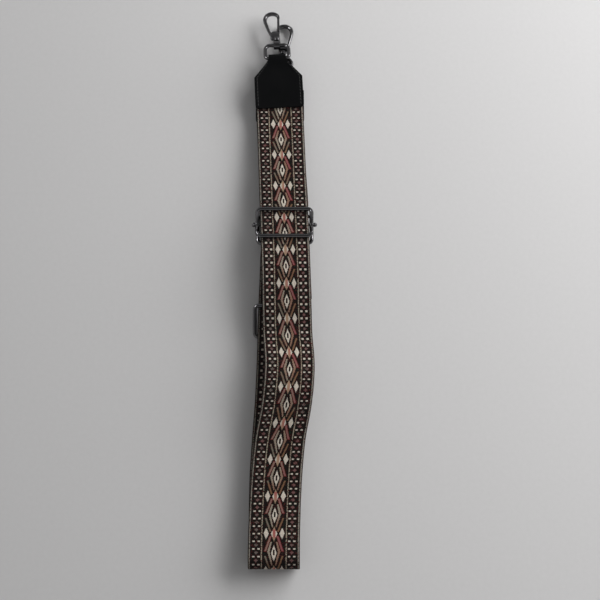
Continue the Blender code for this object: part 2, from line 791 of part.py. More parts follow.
def hook_body(side, place):
    """Bow, base with its slotted cheeks, and the collar that turns on the swivel eye's stem."""
    name = "hook_body_" + side
    points = [(hook_reach * u, hook_length * v, 0.0) for u, v, _ in bow_shares]
    points += [(gate_pin_x, gate_top + gap + nose_rise, 0.0), (gate_pin_x, gate_top + gap, 0.0)]
    shares = [share for _, _, share in bow_shares] + list(nose_shares)
    body = smooth(placed(name, tube(name, points, bow_r, shares=shares), gunmetal, place))
    round_edges(join(body, cheeks(name + "_base"), place), base_edge)
    profile = [(0.0, collar_top), (collar_r - collar_edge, collar_top), (collar_r, collar_top - collar_edge)]
    profile += [(collar_r, collar_edge), (collar_r - collar_edge, 0.0), (0.0, 0.0)]
    join(body, turned(name + "_collar", profile), place @ ALONG_Y)
    room_r = stem_head_r + gap
    profile = [(0.0, head_room_top), (room_r, head_room_top), (room_r, collar_wall)]
    profile += [(stem_r + gap, collar_wall), (stem_r + gap, -overrun), (0.0, -overrun)]
    cut(body, turned(name + "_room", profile, room_steps), place @ ALONG_Y)
    slot_low = (-slot_reach, collar_top + gap, -gate_slot / 2)
    slot_high = (gate_outer + gap + overrun, gate_step + overrun, gate_slot / 2)
    cut(body, block(name + "_slot", slot_low, slot_high), place)
    hole = cylinder(name + "_hole", pin_r + fine_gap, 2 * base_thick, 16)
    cut(body, hole, moved(place, gate_pin_x, gate_pin_height, 0.0))
    return body


def hook_gate(side, place):
    """The sprung gate, from its pin: a bar up to the nose, thinned to a tongue between the cheeks."""
    name = "hook_gate_" + side
    foot = gate_step - gate_pin_height
    low = (-gate_width / 2, foot, -gate_thick / 2)
    high = (gate_width / 2, gate_top - gate_pin_height, gate_thick / 2)
    body = smooth(placed(name, block(name, low, high), gunmetal, place))
    round_edges(body, gate_edge)
    end_r = gate_width / 2 - tongue_inset
    outline = arc((0.0, 0.0), end_r, 180, 360, 8) + [(end_r, foot + gate_width), (-end_r, foot + gate_width)]
    join(body, plate(name + "_tongue", outline, tongue_thick), moved(place, 0.0, 0.0, tongue_z))
    cut(body, cylinder(name + "_bore", pin_r + fine_gap, 2 * base_thick, 16), place)
    return body


def gate_pin(side, place):
    name = "gate_pin_" + side
    return smooth(placed(name, cylinder(name, pin_r, base_thick, 16), gunmetal, place))


def gate_spring(side, place):
    """Torsion spring beside the tongue: two turns round the pin, a leg along the slot and one up the gate."""
    name = "gate_spring_" + side
    coil_r = pin_r + fine_gap + 2 * spring_wire_r
    low_z = tongue_z + tongue_thick / 2 + fine_gap + spring_wire_r
    steps = 10 * spring_turns
    points = []
    for i in range(steps + 1):
        turns = spring_turns * i / steps
        angle = math.pi * (2 * turns + 1)
        points.append((coil_r * math.cos(angle), coil_r * math.sin(angle), low_z + spring_pitch * turns))
    first = points[0]
    last = points[-1]
    points.insert(0, (first[0] - spring_kick, first[1] + 3 * spring_leg / 4, first[2]))
    points.append((last[0], last[1] + spring_leg, last[2]))
    return placed(name, tube(name, points, spring_wire_r, sides=1), spring_steel, place)


def hook(side, eye_place, flip):
    """A hook hung on its eye. A flipped one is turned over on its swivel, so its gate is on the left."""
    place = moved(eye_place @ Matrix.Rotation(math.pi if flip else 0.0, 4, "Y"), 0.0, collar_start, 0.0)
    pin_place = moved(place, gate_pin_x, gate_pin_height, 0.0)
    eye = swivel_eye(side, eye_place)
    body = hook_body(side, place)
    hang(body, eye)
    for piece in (hook_gate(side, pin_place), gate_pin(side, pin_place), gate_spring(side, pin_place)):
        hang(piece, body)
    return eye


# Ends: each has the frames of its tab, its D-ring and its swivel eye
def end_frames(end_point, yaw, pitch, eye_z, hook_yaw, hook_pitch=None, aside=0.0):
    """Frames from the tab's end upwards; a hook given no pitch clears the one under it.

    The eye hangs on the middle of the ring's straight top, or a little aside of it.
    """
    tab_place = frame_at(end_point, yaw, pitch)
    bar = tab_place @ Vector((0.0, bar_in_tab, neck_r))
    ring_place = frame_at(bar, yaw, math.asin((eye_z - bar.z) / dring_span))
    wire = ring_place @ Vector((aside, dring_span, 0.0))
    if hook_pitch is None:
        hook_pitch = -math.asin((wire.z - hook_a_rest_z) / hook_a_rest_length)
    return tab_place, ring_place, frame_at(wire, hook_yaw, hook_pitch)


frames_a = end_frames((tab_a_end_x, tab_a_end_y, tab_a_end_z), tab_a_yaw, tab_a_pitch, eye_a_z, hook_a_yaw)
tab_b_end = (tab_b_end_x, tab_b_end_y, 0.0)
frames_b = end_frames(tab_b_end, tab_b_yaw, 0.0, eye_b_z, hook_b_yaw, hook_b_pitch, eye_b_aside)
slider_place = frame_at((slider_x, slider_y, pin_z), slider_yaw, -line_pitch)
loop_place = frame_at((loop_ring_x, loop_ring_y, loop_bar_z), 0.0, 0.0)
keeper_place = frame_at((keeper_x, keeper_y, (ring_wire_r + keeper_top_z) / 2), 0.0, keeper_pitch)


def strap_end(side, frames, flip, carrier):
    tab_place, ring_place, eye_place = frames
    tab = leather_tab(side, tab_place)
    ring = d_ring(side, ring_place)
    hang(hook(side, eye_place, flip), ring)
    hang(ring, tab)
    hang(tab, carrier)


long_strap, short_strap = webbing()
hang(slider(slider_place), long_strap)
hang(wire_ring("loop_ring", loop_ring_length, loop_place), long_strap)
hang(wire_ring("keeper_ring", keeper_length, keeper_place), long_strap)
strap_end("a", frames_a, False, long_strap)
strap_end("b", frames_b, True, short_strap)
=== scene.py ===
# %% [markdown]
# # A woven bag strap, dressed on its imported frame
# The strap lies folded in half on a pale table: patterned webbing, two black leather tabs, dark metal
# hardware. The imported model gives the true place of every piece. Here each soft or low-sided piece gets a
# finer body, and every surface gets its finish.

# %% Load the frame
import json
import math

import bmesh
import bpy
from mathutils import Matrix, Vector


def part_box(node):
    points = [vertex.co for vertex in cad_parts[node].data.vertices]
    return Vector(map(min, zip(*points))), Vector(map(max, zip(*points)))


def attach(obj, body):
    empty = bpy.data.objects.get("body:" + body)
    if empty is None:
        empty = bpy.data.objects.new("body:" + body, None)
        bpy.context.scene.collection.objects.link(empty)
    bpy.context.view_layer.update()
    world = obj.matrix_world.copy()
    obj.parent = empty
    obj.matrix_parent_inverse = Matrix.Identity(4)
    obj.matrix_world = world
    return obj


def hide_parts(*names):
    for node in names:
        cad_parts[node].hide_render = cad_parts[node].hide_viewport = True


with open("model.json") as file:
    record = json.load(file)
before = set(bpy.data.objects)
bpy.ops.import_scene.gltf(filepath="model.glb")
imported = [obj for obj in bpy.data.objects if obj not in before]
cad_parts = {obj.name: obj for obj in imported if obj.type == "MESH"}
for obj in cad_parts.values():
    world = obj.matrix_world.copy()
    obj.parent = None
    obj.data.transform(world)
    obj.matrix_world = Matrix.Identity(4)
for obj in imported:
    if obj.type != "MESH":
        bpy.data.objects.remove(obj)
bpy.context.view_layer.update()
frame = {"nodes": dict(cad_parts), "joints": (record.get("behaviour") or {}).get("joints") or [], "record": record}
MM = 0.001
joints = {joint["name"]: joint for joint in frame["joints"]}

# %% [markdown]
# ## Camera
# The photograph looks down on the strap from a little below its middle, so its far end is seen slightly
# smaller. A long lens from 0.9 m up keeps that mild perspective. The tilt is made by aiming the camera at a
# point on the table.

# %% Camera
camera_place = (0.0123, -0.2798, 0.9036)
aim_point = Vector((0.0123, -0.0207, 0.0))
bpy.ops.object.camera_add(location=camera_place)
camera = bpy.context.object
camera.data.lens = 72
camera.data.sensor_width = 36
camera.data.clip_start = 0.01
aim = aim_point - camera.location
camera.rotation_euler = aim.to_track_quat("-Z", "Y").to_euler()
bpy.context.scene.camera = camera
bpy.context.scene.view_settings.view_transform = "Standard"
print("camera tilt:", round(math.degrees(math.acos(-aim.normalized().z)), 1), "degrees")

# %% [markdown]
# ## Writing shader maths in Python
# A material is a net of nodes. Wiring sums by hand is slow to read, so one small class wraps a socket and
# lets it be added, scaled and compared like a number. Each operator adds one Math node.

# %% A socket that takes part in sums
class Signal:
    """A node's output that can be used in Python expressions."""

    def __init__(self, net, socket):
        self.net = net
        self.socket = socket

    def math(self, operation, *terms):
        return self.net.node("ShaderNodeMath", {"operation": operation}, dict(enumerate(terms)))

    def __add__(self, other):
        return self.math("ADD", self, other)

    def __sub__(self, other):
        return self.math("SUBTRACT", self, other)

    def __rsub__(self, other):
        return self.math("SUBTRACT", other, self)

    def __mul__(self, other):
        return self.math("MULTIPLY", self, other)

    def __truediv__(self, other):
        return self.math("DIVIDE", self, other)

    def __rtruediv__(self, other):
        return self.math("DIVIDE", other, self)

    def __mod__(self, other):
        return self.math("FLOORED_MODULO", self, other)

    def __rmod__(self, other):
        return self.math("FLOORED_MODULO", other, self)

    def __lt__(self, other):
        return self.math("LESS_THAN", self, other)

    def __gt__(self, other):
        return self.math("GREATER_THAN", self, other)

    def __abs__(self):
        return self.math("ABSOLUTE", self)

    __radd__ = __add__
    __rmul__ = __mul__

    def sine(self):
        return self.math("SINE", self)

    def nearest(self, step):
        return self.math("ROUND", self / step) * step

    def clamped(self):
        return self.math("MINIMUM", self.math("MAXIMUM", self, 0.0), 1.0)


print("a Signal answers to + - * / % < > and abs")

# %% [markdown]
# A second class holds a net while it is built. Its node method adds any other node: settings first, then the
# values or links of its sockets. A third is the net of one material. Colours and vectors never go through a
# Math node, which would turn them grey, but through Mix and Vector Math.

# %% A net of nodes
class Net:
    """A node tree with one method that adds nodes."""

    def __init__(self, tree):
        self.tree = tree

    def feed(self, socket, value):
        if isinstance(value, Signal):
            self.tree.links.new(value.socket, socket)
        elif hasattr(value, "__len__") and len(value) == 3 and socket.type == "RGBA":
            socket.default_value = (*value, 1.0)
        else:
            socket.default_value = value

    def node(self, kind, settings, inputs, output=0):
        made = self.tree.nodes.new(kind)
        for name, value in settings.items():
            setattr(made, name, value)
        for name, value in inputs.items():
            self.feed(made.inputs[name], value)
        return Signal(self, made.outputs[output])


class Look(Net):
    """A material under construction."""

    def __init__(self, name):
        self.material = bpy.data.materials.new(name)
        self.material.use_nodes = True
        super().__init__(self.material.node_tree)
        self.surface = self.tree.nodes["Principled BSDF"]

    def mix(self, share, first, second):
        return self.node("ShaderNodeMix", {"data_type": "RGBA"}, {0: share, 6: first, 7: second}, 2)

    def place(self):
        return self.node("ShaderNodeTexCoord", {}, {}, "Object")

    def noise(self, scale, vector=None, detail=3.0, stretch=None):
        where = vector or self.place()
        if stretch:
            where = self.node("ShaderNodeVectorMath", {"operation": "MULTIPLY"}, {0: where, 1: stretch})
        return self.node("ShaderNodeTexNoise", {}, {"Vector": where, "Scale": scale, "Detail": detail})

    def bump(self, height, distance, strength):
        return self.node("ShaderNodeBump", {}, {"Height": height, "Distance": distance, "Strength": strength})

    def finish(self, **inputs):
        for name, value in inputs.items():
            self.feed(self.surface.inputs[name.replace("_", " ")], value)
        return self.material


print("a Look adds nodes of any kind")

# %% [markdown]
# ## Colours
# Colours are picked from the photograph as screen values from 0 to 255. A shader works in linear light, so
# they are converted once, here.

# %% Colours from screen values
def linear(value):
    share = value / 255
    return share / 12.92 if share <= 0.04045 else ((share + 0.055) / 1.055) ** 2.4


def screen(red, green, blue):
    return tuple(linear(value) for value in (red, green, blue))


print("mid grey is", round(linear(128), 3), "in linear light")

# %% [markdown]
# ## The woven pattern
# The webbing is a jacquard: coloured weft threads float over a near-black ground in a repeat of diamonds,
# chevrons and dots. The pattern is worked out in millimetres across and along the strap, from a UV map laid
# in metres, so it follows the strap round every fold. Both coordinates are first rounded to the thread grid,
# which gives the stepped edges of real weaving.

# %% Webbing: thread grid and repeat
repeat = 27.45
dot_row = repeat / 5
warp_step = 0.42
weft_step = 0.5
webbing = Look("woven_webbing")
uv = webbing.node("ShaderNodeUVMap", {"uv_map": "weave"}, {})
across_mm = webbing.node("ShaderNodeSeparateXYZ", {}, {0: uv}, "X") * 1000
along_mm = webbing.node("ShaderNodeSeparateXYZ", {}, {0: uv}, "Y") * 1000
across = across_mm.nearest(warp_step)
along = along_mm.nearest(weft_step)
out = abs(across)
phase = (along + repeat / 2) % repeat - repeat / 2
half_phase = along % repeat - repeat / 2
row_phase = along % dot_row - dot_row / 2
between_rows = (along + dot_row / 2) % dot_row - dot_row / 2
print("pattern repeats every", repeat, "mm")

# %% [markdown]
# Each figure is a mask: 1 inside, 0 outside. A diamond is a sum of two distances, a band is a distance from
# a slanted line, a dot is a short band in a row. The numbers are millimetres: out from the strap's middle,
# and along from the middle of an eye.

# %% Webbing: masks of the figures
def diamond(x, y, half_x, half_y):
    return abs(x) / half_x + abs(y) / half_y < 1.0


def band(centre, half):
    return abs(out - centre) < half


def between(value, low, high):
    return (value > low) * (value < high)


eye_phase = phase - 0.4
eye_rim = diamond(out, eye_phase, half_x=3.0, half_y=7.4)
eye = diamond(out, eye_phase, half_x=2.1, half_y=5.6)
pupil = (out < 0.8) * (abs(phase) < 2.0)
bend = abs(phase + 0.7)
chevron = band(3.9 - 0.27 * bend, 0.85 - 0.045 * bend) * between(phase, -7.9, 9.2)
upper_centre = 2.6 + 0.353 * (phase + 11.5)
upper_arm = band(upper_centre, 0.62) * between(phase, -11.8, -1.2)
upper_edge = band(upper_centre, 1.0) * between(phase, -12.2, -0.8)
lower_arm = band(6.5 - 0.374 * (phase - 2.3), 0.6) * between(phase, 2.2, 12.4)
middle = diamond(out, half_phase - 0.2, half_x=2.3, half_y=5.2)
middle_tip = middle * (abs(half_phase) > 2.4)
core = (out < 0.9) * (abs(half_phase) < 2.9)
side_diamond = diamond(out - 5.85, half_phase, half_x=1.85, half_y=4.2)
inner_stripe = band(9.0, 0.6)
outer_stripe = band(17.7, 0.38)
row = abs(row_phase) < 0.6
dots = (band(11.1, 0.85) + band(15.0, 0.85)) * row
bead = diamond(out - 13.05, between_rows, half_x=1.5, half_y=1.2)
selvedge = out > 18.3
print("figures ready")

# %% [markdown]
# Threads differ: a random value per grid cell flecks the ground with dark red and green, and a slow noise
# drifts each band between a cool and a warm tint, as yarn-dyed weft does. The figures are then laid over the
# ground one after another, as floats cover it in the loom.

# %% Webbing: colours
cell = webbing.node("ShaderNodeCombineXYZ", {}, {0: across, 1: along})
fleck = webbing.node("ShaderNodeTexWhiteNoise", {"noise_dimensions": "2D"}, {"Vector": cell})
drift = webbing.noise(55.0, uv, detail=1.0)
side_shift = (across > 0.0) * 0.12
warm = ((drift + side_shift - 0.46) * 5.0).clamped()
cream = webbing.mix(fleck, screen(210, 201, 189), screen(176, 166, 153))
beige = webbing.mix(warm, screen(142, 131, 117), screen(130, 100, 84))
rose = webbing.mix(warm, screen(130, 104, 94), screen(130, 78, 78))
copper = webbing.mix(warm, screen(112, 102, 90), screen(116, 86, 64))
core_colour = webbing.mix(warm, screen(154, 128, 105), screen(152, 84, 80))
bead_colour = webbing.mix(warm, screen(100, 91, 86), screen(112, 78, 76))
ground = webbing.mix(fleck > 0.9, screen(20, 14, 12), screen(74, 26, 26))
ground = webbing.mix(between(fleck, 0.84, 0.9), ground, screen(24, 44, 34))
colour = ground
for mask, paint in (
    (upper_edge, screen(96, 34, 34)),
    (upper_arm, rose),
    (lower_arm, copper),
    (chevron, beige),
    (eye_rim, ground),
    (eye, cream),
    (pupil, ground),
    (middle, cream),
    (middle_tip, screen(150, 126, 104)),
    (core, core_colour),
    (side_diamond, cream),
    (inner_stripe * (fleck < 0.7), screen(146, 134, 118)),
    (dots, cream),
    (bead * (fleck < 0.9), bead_colour),
    (outer_stripe * (fleck < 0.8), screen(128, 122, 113)),
    (selvedge * (along_mm % 1.1 < 0.55), screen(66, 60, 56)),
):
    colour = webbing.mix(mask, colour, paint)
print("colour net has", len(webbing.tree.nodes), "nodes")

# %% [markdown]
# The weave itself is relief: threads cross every 0.6 mm, and the floats of the pattern stand a little above
# the ground. Both go into one height for a Bump node.

# %% Webbing: weave relief and finish
thread_pitch = 0.6
turn = 2 * math.pi
warp = (across_mm * (turn / thread_pitch)).sine()
weft = (along_mm * (turn / thread_pitch)).sine()
weave = warp * weft
figure = (chevron + eye + middle + side_diamond + dots + inner_stripe + outer_stripe).clamped()
height = weave * 0.35 + figure * 0.5 + weft * 0.25
webbing_finish = webbing.finish(
    Base_Color=colour,
    Roughness=webbing.noise(900.0) * 0.2 + 0.72,
    Normal=webbing.bump(height, 0.12 * MM, 0.8),
    Specular_IOR_Level=0.15,
)
print("webbing finish has", len(webbing.tree.nodes), "nodes")

# %% [markdown]
# ## The webbing's path
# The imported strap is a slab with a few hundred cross-sections. Its long way round, over the slider and twice
# round the fold, is already right, so the path is read off its own narrow sides: each side face is a ribbon
# whose rim is one loop, one rail down and the other back.

# %% Rails of a packed strip
merge_within = 0.002 * MM
least_sideways = 0.7
corner_below = 0.5
look_ahead = 10 * MM


def narrow_side(node, side):
    """The two long edges of one narrow side, each from the end nearest the hooks."""
    shape = bmesh.new()
    shape.from_mesh(frame["nodes"][node].data)
    bmesh.ops.remove_doubles(shape, verts=shape.verts, dist=merge_within)
    shape.normal_update()
    faces = {face for face in shape.faces if face.normal.x * side > least_sideways}
    beside = {}
    for edge in shape.edges:
        if sum(face in faces for face in edge.link_faces) == 1:
            first, second = edge.verts
            beside.setdefault(first, []).append(second)
            beside.setdefault(second, []).append(first)
    loop = [next(iter(beside))]
    loop.append(beside[loop[0]][0])
    while loop[-1] != loop[0]:
        loop.append(next(vertex for vertex in beside[loop[-1]] if vertex != loop[-2]))
    points = [vertex.co.copy() for vertex in loop[:-1]]
    shape.free()
    steps = [(points[i] - points[i - 1]).normalized() for i in range(len(points))] * 2
    corners = {i for i in range(len(points)) if steps[i].dot(steps[i + 1]) < corner_below}
    start = next(i for i in corners if (i - 1) % len(points) in corners)
    points = points[start:] + points[:start]
    far = next(i for i in range(1, len(points)) if (i + start) % len(points) in corners) + 1
    rails = [points[:far], points[far:][::-1]]
    if rails[0][0].y < rails[0][-1].y:
        rails = [rail[::-1] for rail in rails]
    return sorted(rails, key=lambda rail: -rail[0].z)


def nearest_ahead(rail, guess, index):
    """The point of a rail nearest to a guess, looked for only a little way ahead, and its place."""
    best = None
    run = 0.0
    for i in range(index, len(rail) - 1):
        start, end = rail[i], rail[i + 1]
        share = (guess - start).dot(end - start) / (end - start).length_squared
        point = start.lerp(end, min(max(share, 0.0), 1.0))
        distance = (point - guess).length
        if best is None or distance < best[0]:
            best = (distance, point, i)
        run += (end - start).length if i > index else 0.0
        if run > look_ahead:
            break
    return best[1], best[2]


def strip_path(node):
    """Centre, half-width vector and thickness vector at each section of a packed strip."""
    left_top, left_low = narrow_side(node, -1)
    right_top, right_low = narrow_side(node, 1)
    across = right_top[0] - left_top[0]
    i = j = k = 0
    path = []
    for a in left_top:
        b, i = nearest_ahead(left_low, a, i)
        c, j = nearest_ahead(right_top, a + across, j)
        d, k = nearest_ahead(right_low, c, k)
        across = c - a
        path.append(((a + b + c + d) / 4, (c + d - a - b) / 4, (a + c - b - d) / 4))
    length = sum((q[0] - p[0]).length for p, q in zip(path, path[1:]))
    thick = [2 * section[2].length / MM for section in path]
    print(node, len(path), "sections,", round(length / MM), "mm long,", round(min(thick), 2), "mm thick")
    return path


main_path = strip_path("main_webbing")
short_path = strip_path("short_webbing")
end_path = strip_path("webbing_end")

# %% [markdown]
# A smooth curve through the sections rounds the folds. The new strap is woven on it in mesh code, because a
# flat strap keeps its width and thickness best that way: a thin section with rounded selvedges, every 1.5 mm,
# none of it below the table. The UV map holds metres across the strap and along it.

# %% Webbing bodies
def resample(path, step):
    """The path on a smooth curve, sampled about every step, with the length run so far."""
    spans = [(after[0] - before[0]).length for before, after in zip(path, path[1:])]
    slopes = [[(b - a) / spans[0] for a, b in zip(path[0], path[1])]]
    for i in range(1, len(path) - 1):
        near, far = spans[i - 1], spans[i]
        slopes.append([
            ((b - a) / near * far + (c - b) / far * near) / (near + far)
            for a, b, c in zip(path[i - 1], path[i], path[i + 1])
        ])
    slopes.append([(b - a) / spans[-1] for a, b in zip(path[-2], path[-1])])
    made = []
    for i, span in enumerate(spans):
        count = max(1, round(span / step))
        for k in range(count):
            t = k / count
            made.append([
                a * (1 + 2 * t) * (1 - t) ** 2 + b * t * t * (3 - 2 * t)
                + (m * t * (1 - t) ** 2 + n * t * t * (t - 1)) * span
                for a, b, m, n in zip(path[i], path[i + 1], slopes[i], slopes[i + 1])
            ])
    made.append(list(path[-1]))
    run = 0.0
    for before, after in zip([made[0]] + made, made):
        run += (after[0] - before[0]).length
        after.append(run)
    return made


def section():
    """(share of the half width, share of the half thickness) round the strap's cross-section."""
    flat = [-0.9 + 0.15 * i for i in range(13)]
    top = [(x, 1.0) for x in (-0.955, *flat, 0.955)]
    round_right = [(0.982, 0.86), (0.995, 0.5), (1.0, 0.0), (0.995, -0.5), (0.982, -0.86)]
    low = [(x, -1.0) for x, _ in reversed(top)]
    round_left = [(-x, -z) for x, z in round_right]
    return top + round_right + low + round_left


strap_width = 38 * MM
station_step = 1.5 * MM


def weave_strap(name, path, anchor_y, body, node):
    """A strap's mesh on its path; a pattern eye is centred where the path first passes anchor_y."""
    stations = resample(path, station_step)
    ring = section()
    anchor = next((run for centre, _, _, run in stations if centre.y <= anchor_y), 0.0)
    points, uvs, faces = [], [], []
    for centre, half, thick, run in stations:
        for x, z in ring:
            point = centre + half * x + thick * z
            point.z = max(point.z, 0.0)
            points.append(point)
            uvs.append((x * strap_width / 2, run - anchor))
    size = len(ring)
    for i in range(len(stations) - 1):
        for k in range(size):
            low, high = i * size, (i + 1) * size
            faces.append((low + k, low + (k + 1) % size, high + (k + 1) % size, high + k))
    faces.append(tuple(reversed(range(size))))
    faces.append(tuple(range(len(points) - size, len(points))))
    mesh = bpy.data.meshes.new(name)
    mesh.from_pydata(points, [], faces)
    layer = mesh.uv_layers.new(name="weave")
    for loop in mesh.loops:
        layer.data[loop.index].uv = uvs[loop.vertex_index]
    shape = bmesh.new()
    shape.from_mesh(mesh)
    bmesh.ops.recalc_face_normals(shape, faces=shape.faces)
    shape.to_mesh(mesh)
    shape.free()
    mesh.shade_smooth()
    mesh.materials.append(webbing_finish)
    made = bpy.data.objects.new(name, mesh)
    bpy.context.scene.collection.objects.link(made)
    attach(made, body)
    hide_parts(node)
    length = stations[-1][3]
    print(name, len(mesh.polygons), "faces,", round(length / MM), "mm long")


long_eye = 111.5 * MM
short_eye = 115 * MM
sewn_eye = 12 * MM
weave_strap("long_strap", main_path, long_eye, "strap", "main_webbing")
weave_strap("short_strap", short_path, short_eye, "strap", "short_webbing")
weave_strap("sewn_end", end_path, sewn_eye, "slider", "webbing_end")

# %% [markdown]
# ## Leather and metal
# The tabs are smooth black leather: a fine grain and a soft gloss that wears a little unevenly. The hardware
# is polished black nickel: dark, mirror-like, with faint handling marks in its roughness and relief. Springs
# are bare steel, and the seams are waxed thread.

# %% Leather and metal finishes
leather = Look("black_leather")
grain = leather.node(
    "ShaderNodeTexVoronoi", {"feature": "SMOOTH_F1"}, {"Vector": leather.place(), "Scale": 1500.0}
)
pores = leather.noise(2600.0)
soft = leather.noise(60.0)
leather_finish = leather.finish(
    Base_Color=leather.mix(soft, screen(7, 8, 9), screen(13, 13, 14)),
    Roughness=soft * 0.2 + pores * 0.12 + 0.34,
    Normal=leather.bump(grain * 0.7 + pores * 0.3, 0.05 * MM, 0.5),
    Specular_IOR_Level=0.07,
)

metal = Look("black_nickel")
marks = metal.noise(420.0, stretch=(1.0, 6.0, 1.0))
cloud = metal.noise(160.0)
metal_finish = metal.finish(
    Base_Color=metal.mix(cloud, screen(96, 96, 99), screen(122, 120, 121)),
    Metallic=1.0,
    Roughness=(marks - 0.45) * 0.14 + cloud * 0.06 + 0.13,
    Normal=metal.bump(marks, 0.01 * MM, 0.2),
)

steel = Look("spring_steel")
steel_finish = steel.finish(
    Base_Color=steel.mix(steel.noise(900.0), screen(150, 148, 145), screen(185, 183, 180)),
    Metallic=1.0,
    Roughness=steel.noise(600.0) * 0.2 + 0.2,
)

thread = Look("waxed_thread")
twist = thread.noise(2600.0, stretch=(1.0, 1.0, 3.0))
thread_finish = thread.finish(
    Base_Color=thread.mix(twist, screen(12, 12, 13), screen(34, 33, 33)),
    Roughness=twist * 0.3 + 0.4,
    Normal=thread.bump(twist, 0.05 * MM, 0.6),
)
print("finishes:", [material.name for material in bpy.data.materials if material.users])

# %% [markdown]
# ## Modelling tools
# Every new piece but the webbing starts from a primitive and is shaped in edit mode. A few small helpers do
# what the mouse would: open a piece for editing with nothing else selected, pick vertices by their place,
# apply a modifier, round the edges, join pieces, and set a finished piece in its place.

# %% Opening, picking and placing
def add(name, primitive, **settings):
    """Adds a primitive, with nothing else selected, and opens it for editing with all of it selected."""
    bpy.ops.object.select_all(action="DESELECT")
    primitive(**settings)
    made = bpy.context.object
    made.name = name
    bpy.ops.object.mode_set(mode="EDIT")
    bpy.context.tool_settings.mesh_select_mode = (True, False, False)
    return made


def pick(made, test):
    """Selects the vertices whose place passes a test, in edit mode."""
    shape = bmesh.from_edit_mesh(made.data)
    for vertex in shape.verts:
        vertex.select = test(vertex.co)
    shape.select_mode = {"VERT"}
    shape.select_flush_mode()
    bmesh.update_edit_mesh(made.data)


def modifier(made, kind, **settings):
    """Adds a modifier and applies it."""
    step = made.modifiers.new(kind.lower(), kind)
    for name, value in settings.items():
        setattr(step, name, value)
    bpy.context.view_layer.objects.active = made
    bpy.ops.object.modifier_apply(modifier=step.name)


def rounded(made, width, segments=3):
    """Leaves edit mode and bevels the sharp edges, with the width in millimetres."""
    if made.mode == "EDIT":
        bpy.ops.object.mode_set(mode="OBJECT")
    modifier(
        made, "BEVEL", width=width * MM, segments=segments, limit_method="ANGLE", angle_limit=math.radians(50)
    )
    return made


def settle(made, place):
    """Leaves edit mode, applies the turn that a primitive was added with, and moves its mesh."""
    bpy.ops.object.mode_set(mode="OBJECT")
    bpy.ops.object.transform_apply(location=False, rotation=True, scale=False)
    made.data.transform(Matrix.Translation(place))


def close_up():
    """Merges doubled vertices, turns all faces outwards and leaves edit mode."""
    bpy.ops.mesh.select_all(action="SELECT")
    bpy.ops.mesh.remove_doubles(threshold=merge_within)
    bpy.ops.mesh.normals_make_consistent(inside=False)
    bpy.ops.object.mode_set(mode="OBJECT")


def join(first, *others):
    bpy.ops.object.select_all(action="DESELECT")
    for piece in (first, *others):
        piece.select_set(True)
    bpy.context.view_layer.objects.active = first
    bpy.ops.object.join()
    return first


def put(made, place, finish, body, node):
    """Sets a finished piece in its place, with its finish, on its body, and hides the imported piece it stands
    for.
    """
    bpy.ops.object.select_all(action="DESELECT")
    made.select_set(True)
    bpy.context.view_layer.objects.active = made
    made.matrix_world = place
    bpy.ops.object.transform_apply(location=True, rotation=True, scale=True)
    bpy.ops.object.shade_smooth_by_angle(angle=math.radians(40))
    made.data.materials.clear()
    made.data.materials.append(finish)
    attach(made, body)
    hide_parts(node)
    print(made.name, len(made.data.polygons), "faces")


def copy_of(made, name):
    """A copy with its own mesh."""
    copied = made.copy()
    copied.data = made.data.copy()
    copied.name = name
    bpy.context.scene.collection.objects.link(copied)
    return copied


def frame_of(joint, across, along):
    """A piece's frame from its joint: origin on the joint, X and Y as near as can be to two directions."""
    x = Vector(across).normalized()
    y = Vector(along)
    y = (y - x * y.dot(x)).normalized()
    turned = Matrix((x, y, x.cross(y))).transposed().to_4x4()
    return Matrix.Translation(Vector(joints[joint]["pos_m"])) @ turned


print("joint keys:", sorted(joints["ring_a_swing"]))

# %% [markdown]
# ## Leather tabs
# Each tab is one strip of leather folded round the D-ring's bar, with the webbing between its two leaves. It
# could be cut from two plates, but then the fold would show a seam. So it is modelled as the strip, and its
# rows are worked out first: along the lower leaf, round the bar and back over the upper leaf, each with its
# height and half its width.

# %% Leather tabs: outline and fold
leather_thick = 1.2
tab_half = 19.7
neck_half = 7.15
tab_straight = 26.7
shoulder_end = 41.2
bar_y = 43.5
neck_r = 3.0
tab_thick = 4.3
corner_r = 2.2
rise_start = 32.5
rise_length = 11.0
fold_steps = 12
stitch_share = 0.883
columns = (0.0, 0.2, 0.4, 0.6, 0.75, 0.84, stitch_share, 0.925, 0.975, 1.0)


def tab_width(y):
    """Half the tab's width at y, all in millimetres."""
    if y < corner_r:
        return tab_half - corner_r + math.sqrt(corner_r ** 2 - (corner_r - y) ** 2)
    taper = min(max((y - tab_straight) / (shoulder_end - tab_straight), 0.0), 1.0)
    return tab_half + (neck_half - tab_half) * taper


def upper_leaf(y):
    """Height of the middle of the upper leaf, which rises smoothly to the fold."""
    t = min(max((y - rise_start) / rise_length, 0.0), 1.0)
    return tab_thick - leather_thick / 2 + (2 * neck_r - tab_thick) * t * t * (3 - 2 * t)


fold_r = neck_r - leather_thick / 2
leaf_rows = [0.0, 0.3, 1.0, 2.2, 5.0, 10.0, 15.0, 20.0, 24.0, 26.7, 29.0, 32.0, 35.0, 38.0, 40.0, 41.2, 42.3]
tab_rows = [(y, leather_thick / 2, tab_width(y)) for y in leaf_rows]
for i in range(fold_steps + 1):
    angle = math.pi * (i / fold_steps - 0.5)
    tab_rows.append((bar_y + fold_r * math.cos(angle), neck_r + fold_r * math.sin(angle), neck_half))
tab_rows += [(y, upper_leaf(y), tab_width(y)) for y in reversed(leaf_rows)]
print("tab rows:", len(tab_rows))

# %% [markdown]
# The strip starts as a grid of one row, of which only the front edge is kept. That edge is extruded row by
# row, and each new row is widened or narrowed to the tab's outline. One column on each side is pushed in for
# the line of stitches. Solidify then gives the leather its thickness and Bevel rounds its edge.

